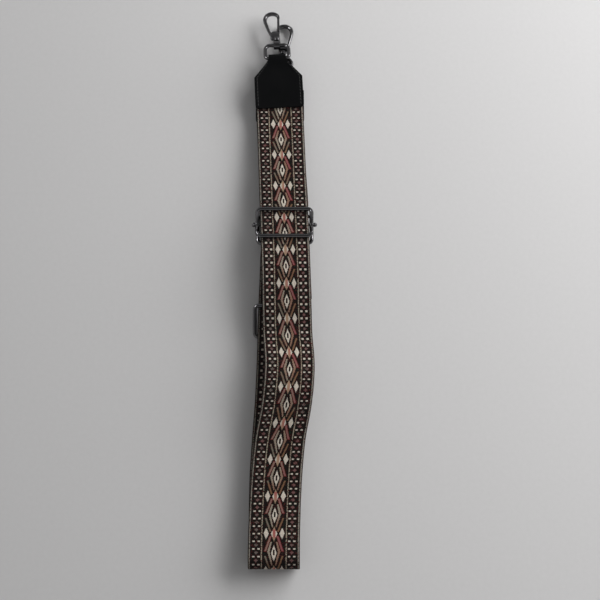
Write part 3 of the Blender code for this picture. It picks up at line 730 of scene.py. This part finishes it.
# %% Leather tabs: the folded strip
channel_deep = 0.22 * MM
channel_low = 1.5 * MM
channel_high = 38.5 * MM
strip = add(
    "leather_tab_front", bpy.ops.mesh.primitive_grid_add,
    x_subdivisions=2 * len(columns) - 2, y_subdivisions=1, size=2 * MM,
)
pick(strip, lambda at: at.y > 0)
bpy.ops.mesh.delete(type="VERT")
shape = bmesh.from_edit_mesh(strip.data)
shares = [-share for share in reversed(columns[1:])] + list(columns)
for vertex, share in zip(sorted(shape.verts, key=lambda vertex: vertex.co.x), shares):
    vertex.co = Vector((share * tab_width(0.0), 0.0, leather_thick / 2)) * MM
    vertex.select = True
shape.select_flush(True)
bmesh.update_edit_mesh(strip.data)
for (y0, z0, half0), (y1, z1, half1) in zip(tab_rows, tab_rows[1:]):
    step = (0.0, (y1 - y0) * MM, (z1 - z0) * MM)
    bpy.ops.mesh.extrude_region_move(TRANSFORM_OT_translate={"value": step})
    bpy.ops.transform.resize(value=(half1 / half0, 1.0, 1.0), center_override=(0.0, y1 * MM, z1 * MM))
for top in (True, False):
    pick(strip, lambda at: (
        channel_low < at.y < channel_high
        and (at.z > tab_thick / 2 * MM) == top
        and abs(abs(at.x) / tab_width(at.y / MM) / MM - stitch_share) < 0.01
    ))
    bpy.ops.transform.translate(value=(0.0, 0.0, -channel_deep if top else channel_deep))
close_up()
modifier(strip, "SOLIDIFY", thickness=leather_thick * MM, offset=0.0, use_even_offset=True)
rounded(strip, width=0.28)
print(strip.name, "with", len(strip.data.polygons), "faces")

# %% [markdown]
# Between the leaves, past the webbing's end, the shoulders are filled with one more layer, so the edge is
# closed. It is a plane whose two ends are moved and narrowed to the outline, given its thickness.

# %% Leather tabs: the layer in the shoulders
fill_low = 26.9
fill_high = 39.5
fill_inset = 0.2
fill_overlap = 0.05
filler = add("tab_filler", bpy.ops.mesh.primitive_plane_add, size=2 * MM)
for end, y in ((1, fill_high), (-1, fill_low)):
    pick(filler, lambda at: at.y * end > 0)
    bpy.ops.transform.translate(value=(0.0, (y - end) * MM, 0.0))
    half = tab_width(y) - fill_inset
    bpy.ops.transform.resize(value=(half, 1.0, 1.0), center_override=(0.0, y * MM, 0.0))
bpy.ops.mesh.select_all(action="SELECT")
bpy.ops.transform.translate(value=(0.0, 0.0, tab_thick / 2 * MM))
close_up()
modifier(filler, "SOLIDIFY", thickness=(tab_thick - 2 * leather_thick + fill_overlap) * MM, offset=0.0)
tab_shape = join(strip, filler)
print("tab has", len(tab_shape.data.polygons), "faces")

# %% [markdown]
# Both tabs are cut to one pattern, so the second is a copy. A tab lies along the end of its webbing, and its
# fold holds the D-ring's bar, so the bar's joint and the webbing's first sections give its place.


# %% Leather tabs: in their places
def tab_frame(joint, path):
    """The tab's frame: its leaves lie along the webbing's tongue, and the D-ring's bar is in its fold."""
    place = frame_of(joint, joints[joint]["axis"], path[0][0] - path[1][0])
    return place @ Matrix.Translation((0.0, -bar_y * MM, -neck_r * MM))


tab_places = {"a": tab_frame("ring_a_swing", main_path), "b": tab_frame("ring_b_swing", short_path)}
back_tab = copy_of(tab_shape, "leather_tab_back")
put(tab_shape, tab_places["a"], leather_finish, "strap", "leather_tab_a")
put(back_tab, tab_places["b"], leather_finish, "strap", "leather_tab_b")

# %% [markdown]
# ## Stitches
# The thread dives through the leather and shows as a row of short slanting stitches. One stitch is a small
# flat capsule, stretched from a sphere. It is copied along the pushed-in column, sunk a little into it.

# %% One stitch
stitch_r = 0.33 * MM
stitch_stretch = 0.8 * MM
stitch_flatness = 0.7
stitch_pitch = 2.7 * MM
stitch_slant = 0.12
stitch_sunk = 0.1
seam_start = 2.0
seam_end = 38.6


def stitch(name):
    made = add(name, bpy.ops.mesh.primitive_uv_sphere_add, segments=10, ring_count=6, radius=stitch_r)
    for end in (1, -1):
        pick(made, lambda at: at.y * end > 0.01 * MM)
        bpy.ops.transform.translate(value=(0.0, end * stitch_stretch, 0.0))
    bpy.ops.mesh.select_all(action="SELECT")
    bpy.ops.transform.resize(value=(1.0, 1.0, stitch_flatness), center_override=(0.0, 0.0, 0.0))
    close_up()
    return made


def row_of(made, name, spots):
    """Copies of one piece at places with a heading in degrees, joined to one object."""
    copies = []
    for place, heading in spots:
        copied = copy_of(made, name)
        copied.data.transform(Matrix.Translation(place) @ Matrix.Rotation(heading, 4, "Z"))
        copies.append(copied)
    return join(copies[0], *copies[1:])


def along_line(points, pitch, slant):
    """Places every pitch along a line of points, each with its heading about Z, turned by a slant."""
    spots = []
    left = pitch / 2
    for start, end in zip(points, points[1:]):
        way = end - start
        heading = math.atan2(-way.x, way.y) + slant
        while left < way.length:
            spots.append((start + way.normalized() * left, heading))
            left += pitch
        left -= way.length
    return spots


one_stitch = stitch("one_stitch")
side = [(tab_width(y) * stitch_share, y) for y in (seam_start, tab_straight, seam_end)]
surface = leather_thick / 2 - stitch_sunk
top_rows = []
for sign in (-1, 1):
    line = [Vector((sign * x, y, upper_leaf(y) + surface)) * MM for x, y in side]
    top_rows += along_line(line, stitch_pitch, sign * stitch_slant)
print(len(top_rows), "stitches a tab")

# %% [markdown]
# The front tab's stitches are joined to one object, which is copied for the back tab. Each tab's seam then
# goes where its tab went, so both share one frame.

# %% Stitches in place
front_rows = row_of(one_stitch, "tab_stitches_front", top_rows)
back_rows = copy_of(front_rows, "tab_stitches_back")
put(front_rows, tab_places["a"], thread_finish, "strap", "tab_stitching_a")
put(back_rows, tab_places["b"], thread_finish, "strap", "tab_stitching_b")
bpy.data.objects.remove(one_stitch)

# %% [markdown]
# ## Bent wire
# Rings, slider and hooks are bent from round wire. By hand one would extrude a circle step by step, turning
# it a little at each step. This helper does just that along a line of points: extrude to the next point, turn
# the end ring to face halfway round the bend, and resize it where the wire is thicker or thinner.

# %% A wire along points
wire_sides = 16


def bent_wire(name, points, radii, closed):
    """Round wire along flat points in X and Y, all in millimetres; radii are its radius at each point."""
    count = len(points)
    points = [Vector((*point, 0.0)) for point in points]
    headings = []
    for i in range(count):
        before = points[i - 1] if closed or i else points[i]
        after = points[(i + 1) % count] if closed or i < count - 1 else points[i]
        way = after - before
        headings.append(math.atan2(way.y, way.x))
    made = add(
        name, bpy.ops.mesh.primitive_circle_add, vertices=wire_sides, radius=radii[0] * MM,
        rotation=(math.pi / 2, 0.0, headings[0] + math.pi / 2),
    )
    settle(made, points[0] * MM)
    bpy.ops.object.mode_set(mode="EDIT")
    if not closed:
        bpy.ops.mesh.edge_face_add()
    order = list(range(count)) + ([0] if closed else [])
    for i, k in zip(order, order[1:]):
        bpy.ops.mesh.extrude_region_move(TRANSFORM_OT_translate={"value": (points[k] - points[i]) * MM})
        turn_by = (headings[k] - headings[i] + math.pi) % (2 * math.pi) - math.pi
        if abs(turn_by) > 0.0001:
            bpy.ops.transform.rotate(value=-turn_by, orient_axis="Z", center_override=points[k] * MM)
        if radii[k] != radii[i]:
            size = radii[k] / radii[i]
            bpy.ops.transform.resize(value=(size, size, size), center_override=points[k] * MM)
    close_up()
    return made


def arc_points(centre, radius, start, end, steps=9):
    angles = [math.radians(start + (end - start) * i / steps) for i in range(steps + 1)]
    return [(centre[0] + radius * math.cos(a), centre[1] + radius * math.sin(a)) for a in angles]


def mirrored(right):
    """A loop from its right half, which runs from the bottom to the top."""
    return right + [(-x, y) for x, y in reversed(right)]


def ring_points(half_x, low, high, low_r, high_r):
    """A rectangular ring with round corners, from its lower bar at low to its upper bar at high."""
    return mirrored(
        arc_points((half_x - low_r, low + low_r), low_r, -90, 0)
        + arc_points((half_x - high_r, high - high_r), high_r, 0, 90)
    )


print("wire helpers ready")

# %% [markdown]
# ## D-rings and rings
# The D-rings are nearly square, with a straight bar in the leather and rounder corners at the hook's side.
# The loop ring and the keeper ring are rectangles. Each is one closed wire in its own plane, then put in the
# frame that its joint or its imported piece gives.

# %% Rings
wire_r = 1.5
rail_x = 21.35
ring_corner = 3.0
dring_half = 9.7
dring_height = 12.35
dring_low_corner = 2.3
dring_high_corner = 4.4
eye_b_aside = 2.5
dring = ring_points(dring_half, 0.0, dring_height, dring_low_corner, dring_high_corner)
front_ring = bent_wire("d_ring_front", dring, [wire_r] * len(dring), closed=True)
back_ring = copy_of(front_ring, "d_ring_back")


def towards(first, second):
    return Vector(joints[second]["pos_m"]) - Vector(joints[first]["pos_m"])


def ring_frame(side, aside):
    """The D-ring's frame: its bar is on its joint, and the eye hangs on its top, this far aside."""
    joint = "ring_" + side + "_swing"
    across = Vector(joints[joint]["axis"])
    return frame_of(joint, across, towards(joint, "eye_" + side + "_swing") - across * aside * MM)


put(front_ring, ring_frame("a", 0.0), metal_finish, "ring_a", "d_ring_a")
put(back_ring, ring_frame("b", eye_b_aside), metal_finish, "ring_b", "d_ring_b")


def middle_of(node):
    low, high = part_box(node)
    return (Vector(low) + Vector(high)) / 2


keeper_half = 12.15
loop_half = 11.2
keeper_points = ring_points(rail_x, -keeper_half, keeper_half, ring_corner, ring_corner)
loop_points = ring_points(rail_x, -loop_half, loop_half, ring_corner, ring_corner)
keeper_low, keeper_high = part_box("keeper_ring")
keeper_pitch = math.asin((keeper_high[2] - keeper_low[2] - 2 * wire_r * MM) / (2 * keeper_half * MM))
keeper = bent_wire("keeper_wire", keeper_points, [wire_r] * len(keeper_points), closed=True)
keeper_place = Matrix.Translation(middle_of("keeper_ring")) @ Matrix.Rotation(keeper_pitch, 4, "X")
put(keeper, keeper_place, metal_finish, "keeper", "keeper_ring")
loop = bent_wire("loop_wire", loop_points, [wire_r] * len(loop_points), closed=True)
put(loop, Matrix.Translation(middle_of("loop_ring")), metal_finish, "strap", "loop_ring")

# %% [markdown]
# ## Slider
# The slider is a wire frame whose two side rails dip in the middle, where small drums hold a loose bar. It is
# bent flat like the rings, at the height of the bar, and its wire is then lifted ring by ring: all the way at
# the frame's ends, and not at all at the drums.

# %% Slider frame
slider_r = 1.6
slider_half_y = 11.5
slider_corner = 3.4
frame_over_bar = 5.35
rail_half = 7.0
rail_rise_end = 8.6
rail_steps = 10
right_rail = [(rail_x, 2 * rail_half * i / rail_steps - rail_half) for i in range(rail_steps + 1)]
slider_points = mirrored(
    arc_points((rail_x - slider_corner, slider_corner - slider_half_y), slider_corner, -90, 0)
    + right_rail
    + arc_points((rail_x - slider_corner, slider_half_y - slider_corner), slider_corner, 0, 90)
)
frame_wire = bent_wire("slider_wire", slider_points, [slider_r] * len(slider_points), closed=True)


def rail_lift(x, y):
    """How high the frame's wire stands over the bar: all the way at the ends, not at all at the drums."""
    share = min(1.0, (y / rail_rise_end) ** 2)
    return frame_over_bar * (share if abs(x) > rail_x - slider_corner else 1.0)


def nearest_on_wire(at):
    """The wire's own point nearest a vertex, so that a whole ring is lifted by one height."""
    return min(slider_points, key=lambda point: (point[0] - at.x / MM) ** 2 + (point[1] - at.y / MM) ** 2)


for vertex in frame_wire.data.vertices:
    vertex.co.z += rail_lift(*nearest_on_wire(vertex.co)) * MM
print("slider wire has", len(frame_wire.data.vertices), "vertices")

# %% [markdown]
# The drums and the bar are cylinders laid along X, with bevelled rims. The bar's ends are hammered to balls
# that keep it in, so each ball is a sphere whose outer side is pressed flat. The bar turns loose in its drums
# and rides with the slider.

# %% Drums and bar
drum_r = 2.5
drum_half = 1.36
bar_r = 1.2
bar_half = 24.1
ball_r = 1.8
flat_from = 0.85
flat_at = 0.88


def drum(name, radius, half_length, bevel, place_x=0.0, sides=32):
    """A cylinder lying along X with bevelled rims."""
    made = add(
        name, bpy.ops.mesh.primitive_cylinder_add, vertices=sides, radius=radius * MM,
        depth=2 * half_length * MM, rotation=(0.0, math.pi / 2, 0.0),
    )
    settle(made, (place_x * MM, 0.0, 0.0))
    return rounded(made, bevel)


def end_ball(name, radius, place_x):
    """A ball on a wire's end, pressed a little flat at its outer side."""
    made = add(name, bpy.ops.mesh.primitive_uv_sphere_add, segments=24, ring_count=16, radius=radius * MM)
    pick(made, lambda at: at.x * place_x > flat_from * radius * abs(place_x) * MM)
    flat_x = math.copysign(flat_at * radius * MM, place_x)
    bpy.ops.transform.resize(value=(0.0, 1.0, 1.0), center_override=(flat_x, 0.0, 0.0))
    close_up()
    made.data.transform(Matrix.Translation((place_x * MM, 0.0, 0.0)))
    return made


drums = [drum("drum", drum_r, drum_half, bevel=0.4, place_x=side * rail_x) for side in (-1, 1)]
slider_frame = join(frame_wire, *drums)
slider_bar = drum("slider_rod", bar_r, bar_half, bevel=0.1)
balls = [end_ball("rod_ball", ball_r, side * bar_half) for side in (-1, 1)]
slider_bar = join(slider_bar, *balls)
slide_way = Vector(joints["slider_slide"]["axis"])
pitch = math.asin(slide_way.z / math.hypot(slide_way.y, slide_way.z))
slider_place = Matrix.Translation(middle_of("slider_bar")) @ Matrix.Rotation(pitch, 4, "X")
put(slider_frame, slider_place, metal_finish, "slider", "slider_frame")
put(slider_bar, slider_place, metal_finish, "slider", "slider_bar")

# %% [markdown]
# ## Snap hooks
# A snap hook is cast in one piece: a bow bent like a shepherd's crook, thicker at its top, on a slotted base
# with a collar. The bow is made as bent wire whose radius changes. Its rows say how far aside and how far up
# it passes, as shares of the hook's reach and length, and how thick it is; a smooth curve runs through them.

# %% Hook: bow
hook_length = 29.0
hook_reach = 11.4
bow_r = 1.74
bow_rows = [
    (-0.27, 0.12, 0.66), (-0.34, 0.17, 0.68), (-0.43, 0.24, 0.7), (-0.54, 0.33, 0.72), (-0.69, 0.5, 0.78),
    (-0.79, 0.62, 0.84), (-0.825, 0.705, 0.9), (-0.8, 0.78, 0.96), (-0.71, 0.845, 1.0), (-0.56, 0.893, 1.0),
    (-0.36, 0.919, 1.0), (-0.2, 0.918, 0.98), (-0.06, 0.9, 0.94), (0.06, 0.868, 0.88), (0.135, 0.83, 0.78),
    (0.149, 0.8, 0.72), (0.149, 0.769, 0.7),
]


def curve_through(rows, steps):
    """A smooth curve through rows of numbers, with this many steps from one row to the next."""
    made = []
    last = len(rows) - 1
    for i in range(last):
        nearby = zip(rows[max(i - 1, 0)], rows[i], rows[i + 1], rows[min(i + 2, last)])
        bends = [
            (b, (c - a) / 2, a - 2.5 * b + 2 * c - d / 2, 1.5 * (b - c) + (d - a) / 2)
            for a, b, c, d in nearby
        ]
        for k in range(steps):
            t = k / steps
            made.append([b + t * (u + t * (v + t * w)) for b, u, v, w in bends])
    return made + [list(rows[-1])]


stations = curve_through([(hook_reach * x, hook_length * y, bow_r * r) for x, y, r in bow_rows], steps=3)
hook_bow = bent_wire("hook_bow", [(x, y) for x, y, _ in stations], [r for _, _, r in stations], closed=False)
bpy.ops.object.select_all(action="DESELECT")
modifier(hook_bow, "TRIANGULATE", min_vertices=5)
print("bow:", len(stations), "stations")

# %% [markdown]
# The base is a block bisected to its slanted outline, rounded, and slotted for the gate. The collar under it
# turns on the eye's stem: a cylinder with well rounded rims and a bore in its foot.

# %% Hook: base and collar
collar_r = 2.8
collar_top = 3.15
bore_r = 1.3
bore_deep = 1.4
base_left = -5.0
base_right = 2.8
base_low = 1.4
base_high = 8.7
base_thick = 4.0
base_cuts = (
    ((-3.9, base_low), (base_left, 5.8)),
    ((base_left, 6.9), (0.6, base_high)),
    ((0.6, base_high), (base_right, 6.1)),
)
slot_left = -1.8
slot_half = 1.25
slot_over = 0.3
overrun = 1.0


def box_piece(name, low, high):
    """A cube added at its size and place, open for editing."""
    low, high = Vector(low) * MM, Vector(high) * MM
    made = add(name, bpy.ops.mesh.primitive_cube_add, size=1.0, location=(0.0, 0.0, 0.0))
    bpy.ops.transform.resize(value=high - low, center_override=(0.0, 0.0, 0.0))
    bpy.ops.transform.translate(value=(low + high) / 2)
    return made


def cut_away(made, tool):
    """Takes a tool's shape out of a piece, and removes the tool."""
    modifier(made, "BOOLEAN", operation="DIFFERENCE", object=tool, solver="EXACT")
    bpy.data.objects.remove(tool)


def collar_piece(name, radius, low, high, sides=32):
    """A cylinder along Y."""
    made = add(
        name, bpy.ops.mesh.primitive_cylinder_add, vertices=sides, radius=radius * MM,
        depth=(high - low) * MM, rotation=(math.pi / 2, 0.0, 0.0),
    )
    settle(made, (0.0, (low + high) / 2 * MM, 0.0))
    return made


base = box_piece(
    "hook_base", (base_left, base_low, -base_thick / 2), (base_right, base_high, base_thick / 2)
)
for start, end in base_cuts:
    bpy.ops.mesh.select_all(action="SELECT")
    outwards = (start[1] - end[1], end[0] - start[0], 0.0)
    at = (start[0] * MM, start[1] * MM, 0.0)
    bpy.ops.mesh.bisect(plane_co=at, plane_no=outwards, clear_outer=True, use_fill=True)
rounded(base, width=0.85, segments=4)
slot = box_piece(
    "hook_slot", (slot_left, collar_top + slot_over, -slot_half),
    (base_right + overrun, base_high + overrun, slot_half),
)
bpy.ops.object.mode_set(mode="OBJECT")
cut_away(base, slot)
collar = rounded(collar_piece("hook_collar", collar_r, 0.0, collar_top), width=0.9, segments=5)
cut_away(collar, collar_piece("collar_bore", bore_r, -overrun, bore_deep))
hook_shape = join(hook_bow, base, collar)
print("hook has", len(hook_shape.data.polygons), "faces")

# %% [markdown]
# The gate is a slim bar that closes the hook, a little narrower at its tip. It turns on its pin between the
# cheeks of the base by a thin tongue, set to one side so that the spring has room beside it. The tongue is a
# flat cylinder with one half drawn out into the bar.

# %% Gate
gate_half_width = 1.1
gate_half_thick = 1.2
gate_foot = 4.2
gate_length = 17.0
tip_narrowing = (0.86, 1.0, 0.92)
tongue_r = 1.0
tongue_thick = 1.0
tongue_aside = 0.6
tongue_into_bar = 0.4
gate = box_piece(
    "hook_gate", (-gate_half_width, gate_foot, -gate_half_thick),
    (gate_half_width, gate_length, gate_half_thick),
)
pick(gate, lambda at: at.y > gate_length * MM / 2)
bpy.ops.transform.resize(value=tip_narrowing, center_override=(0.0, gate_length * MM, 0.0))
rounded(gate, width=0.55, segments=4)
tongue = add(
    "gate_tongue", bpy.ops.mesh.primitive_cylinder_add, vertices=24,
    radius=tongue_r * MM, depth=tongue_thick * MM,
)
pick(tongue, lambda at: at.y > 0.01 * MM)
bpy.ops.transform.translate(value=(0.0, (gate_foot + tongue_into_bar) * MM, 0.0))
bpy.ops.mesh.select_all(action="SELECT")
bpy.ops.transform.translate(value=(0.0, 0.0, -tongue_aside * MM))
rounded(tongue, width=0.12, segments=2)
gate_shape = join(gate, tongue)
print("gate has", len(gate_shape.data.polygons), "faces")

# %% [markdown]
# The swivel eye is a short thick ring round the D-ring's wire, with the headed stem that the collar turns on.
# The ring is a drum with a bore, and only the bore's rims are rounded, where the wire rubs.

# %% Swivel eye
eye_outer_r = 3.6
eye_hole_r = 2.15
eye_half = 2.45
crisp = 0.01
stem_r = 1.0
stem_root = 3.0
stem_top = 5.4
head_r = 1.8
head_low = 5.3
head_high = 6.2
eye_ring = drum("swivel_ring", eye_outer_r, eye_half, crisp, sides=40)
cut_away(eye_ring, drum("eye_bore", eye_hole_r, 2 * eye_half, crisp, sides=40))
rounded(eye_ring, width=0.45)
stem = collar_piece("eye_stem", stem_r, stem_root, stem_top, sides=20)
head = collar_piece("stem_head", head_r, head_low, head_high, sides=24)
rounded(head, width=0.15, segments=2)
eye_shape = join(eye_ring, stem, head)
print("eye has", len(eye_shape.data.polygons), "faces")

# %% [markdown]
# Both hooks are the same casting, so each shape is made once and copied into place. A hook points along its
# swivel's axis, and its gate's axis says which way it faces. An eye turns on the D-ring, so it keeps its own
# axis across. The shapes that were copied are then removed.

# %% Hooks in place
for side, name in (("a", "front"), ("b", "back")):
    swivel = Vector(joints["hook_" + side + "_swivel"]["axis"])
    up_hook = swivel if swivel.y > 0 else -swivel
    gate_axis = Vector(joints["gate_" + side + "_open"]["axis"])
    across = up_hook.cross(gate_axis)
    eye_across = Vector(joints["eye_" + side + "_swing"]["axis"])
    eye_across = eye_across if eye_across.x > 0 else -eye_across
    for shape, joint, x, body, node in (
        (hook_shape, "hook_" + side + "_swivel", across, "hook_" + side, "hook_body_" + side),
        (gate_shape, "gate_" + side + "_open", across, "gate_" + side, "hook_gate_" + side),
        (eye_shape, "eye_" + side + "_swing", eye_across, "eye_" + side, "swivel_eye_" + side),
    ):
        piece = copy_of(shape, shape.name + "_" + name)
        put(piece, frame_of(joint, x, up_hook), metal_finish, body, node)
for shape in (hook_shape, gate_shape, eye_shape):
    bpy.data.objects.remove(shape)

# %% [markdown]
# The zigzag tacks, the gates' pins and their springs are small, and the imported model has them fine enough.
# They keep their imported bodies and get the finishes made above, chosen by the slot that the record names.

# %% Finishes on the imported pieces
slot_finish = {"gunmetal": metal_finish, "spring_steel": steel_finish, "thread": thread_finish}
for part in frame["record"]["subparts"]:
    node = frame["nodes"][part["node"]]
    if part["material_slot"] in slot_finish:
        node.data.materials.clear()
        node.data.materials.append(slot_finish[part["material_slot"]])
print("slots with a finish:", sorted(slot_finish))

# %% [markdown]
# ## Table and light
# The photograph has a plain pale table. It is a single plane, so wide that its edges stay out of sight.

# %% Table
table_size = 40.0
bpy.ops.object.select_all(action="DESELECT")
bpy.ops.mesh.primitive_plane_add(size=table_size, location=(0.0, 0.0, 0.0))
table = bpy.context.object
table.name = "table"
tabletop = Look("pale_table")
speck = tabletop.noise(300.0)
table.data.materials.append(tabletop.finish(
    Base_Color=tabletop.mix(speck, screen(203, 202, 202), screen(208, 207, 207)),
    Roughness=speck * 0.1 + 0.6,
    Specular_IOR_Level=0.2,
))
print("table:", round(table_size), "m wide")

# %% [markdown]
# The light is one broad, low window from the right, which throws a wide soft shadow to the left, and a grey
# sky that fills the rest. Polished metal mirrors whatever is round it, so its look is a matter of what it can
# see: the sky is darkest overhead, the window is hidden from reflections, which would wash the metal out, and
# two small lamps that only reflections see put the glints on it.

# %% Light
world = bpy.data.worlds.new("studio")
bpy.context.scene.world = world
world.use_nodes = True
sky = Net(world.node_tree)
background = sky.tree.nodes["Background"]
direction = sky.node("ShaderNodeTexCoord", {}, {}, "Generated")
upward = sky.node("ShaderNodeSeparateXYZ", {}, {0: direction}, "Z")
strength = sky.node("ShaderNodeMapRange", {}, {
    "Value": upward, "From Min": 0.35, "From Max": 1.0, "To Min": 0.46, "To Max": 0.08,
})
sky.feed(background.inputs["Color"], (1.0, 1.0, 1.0))
sky.feed(background.inputs["Strength"], strength)


def soft_light(name, place, size, power):
    """A rectangular area light, aimed at the middle of the table."""
    bpy.ops.object.light_add(type="AREA", location=place)
    made = bpy.context.object
    made.name = name
    made.data.shape = "RECTANGLE"
    made.data.size, made.data.size_y = size
    made.data.energy = power
    made.rotation_euler = (-Vector(place)).to_track_quat("-Z", "Y").to_euler()
    return made


window = soft_light("window", place=(1.25, 0.8, 0.46), size=(1.9, 1.0), power=61.0)
window.visible_glossy = False
glint_right = soft_light("glint_right", place=(0.9, 0.5, 0.75), size=(0.35, 0.35), power=6.0)
glint_left = soft_light("glint_left", place=(-0.6, 0.3, 1.0), size=(0.25, 0.25), power=3.5)
for glint in (glint_right, glint_left):
    glint.visible_diffuse = False
print("one window, two glints, one sky")
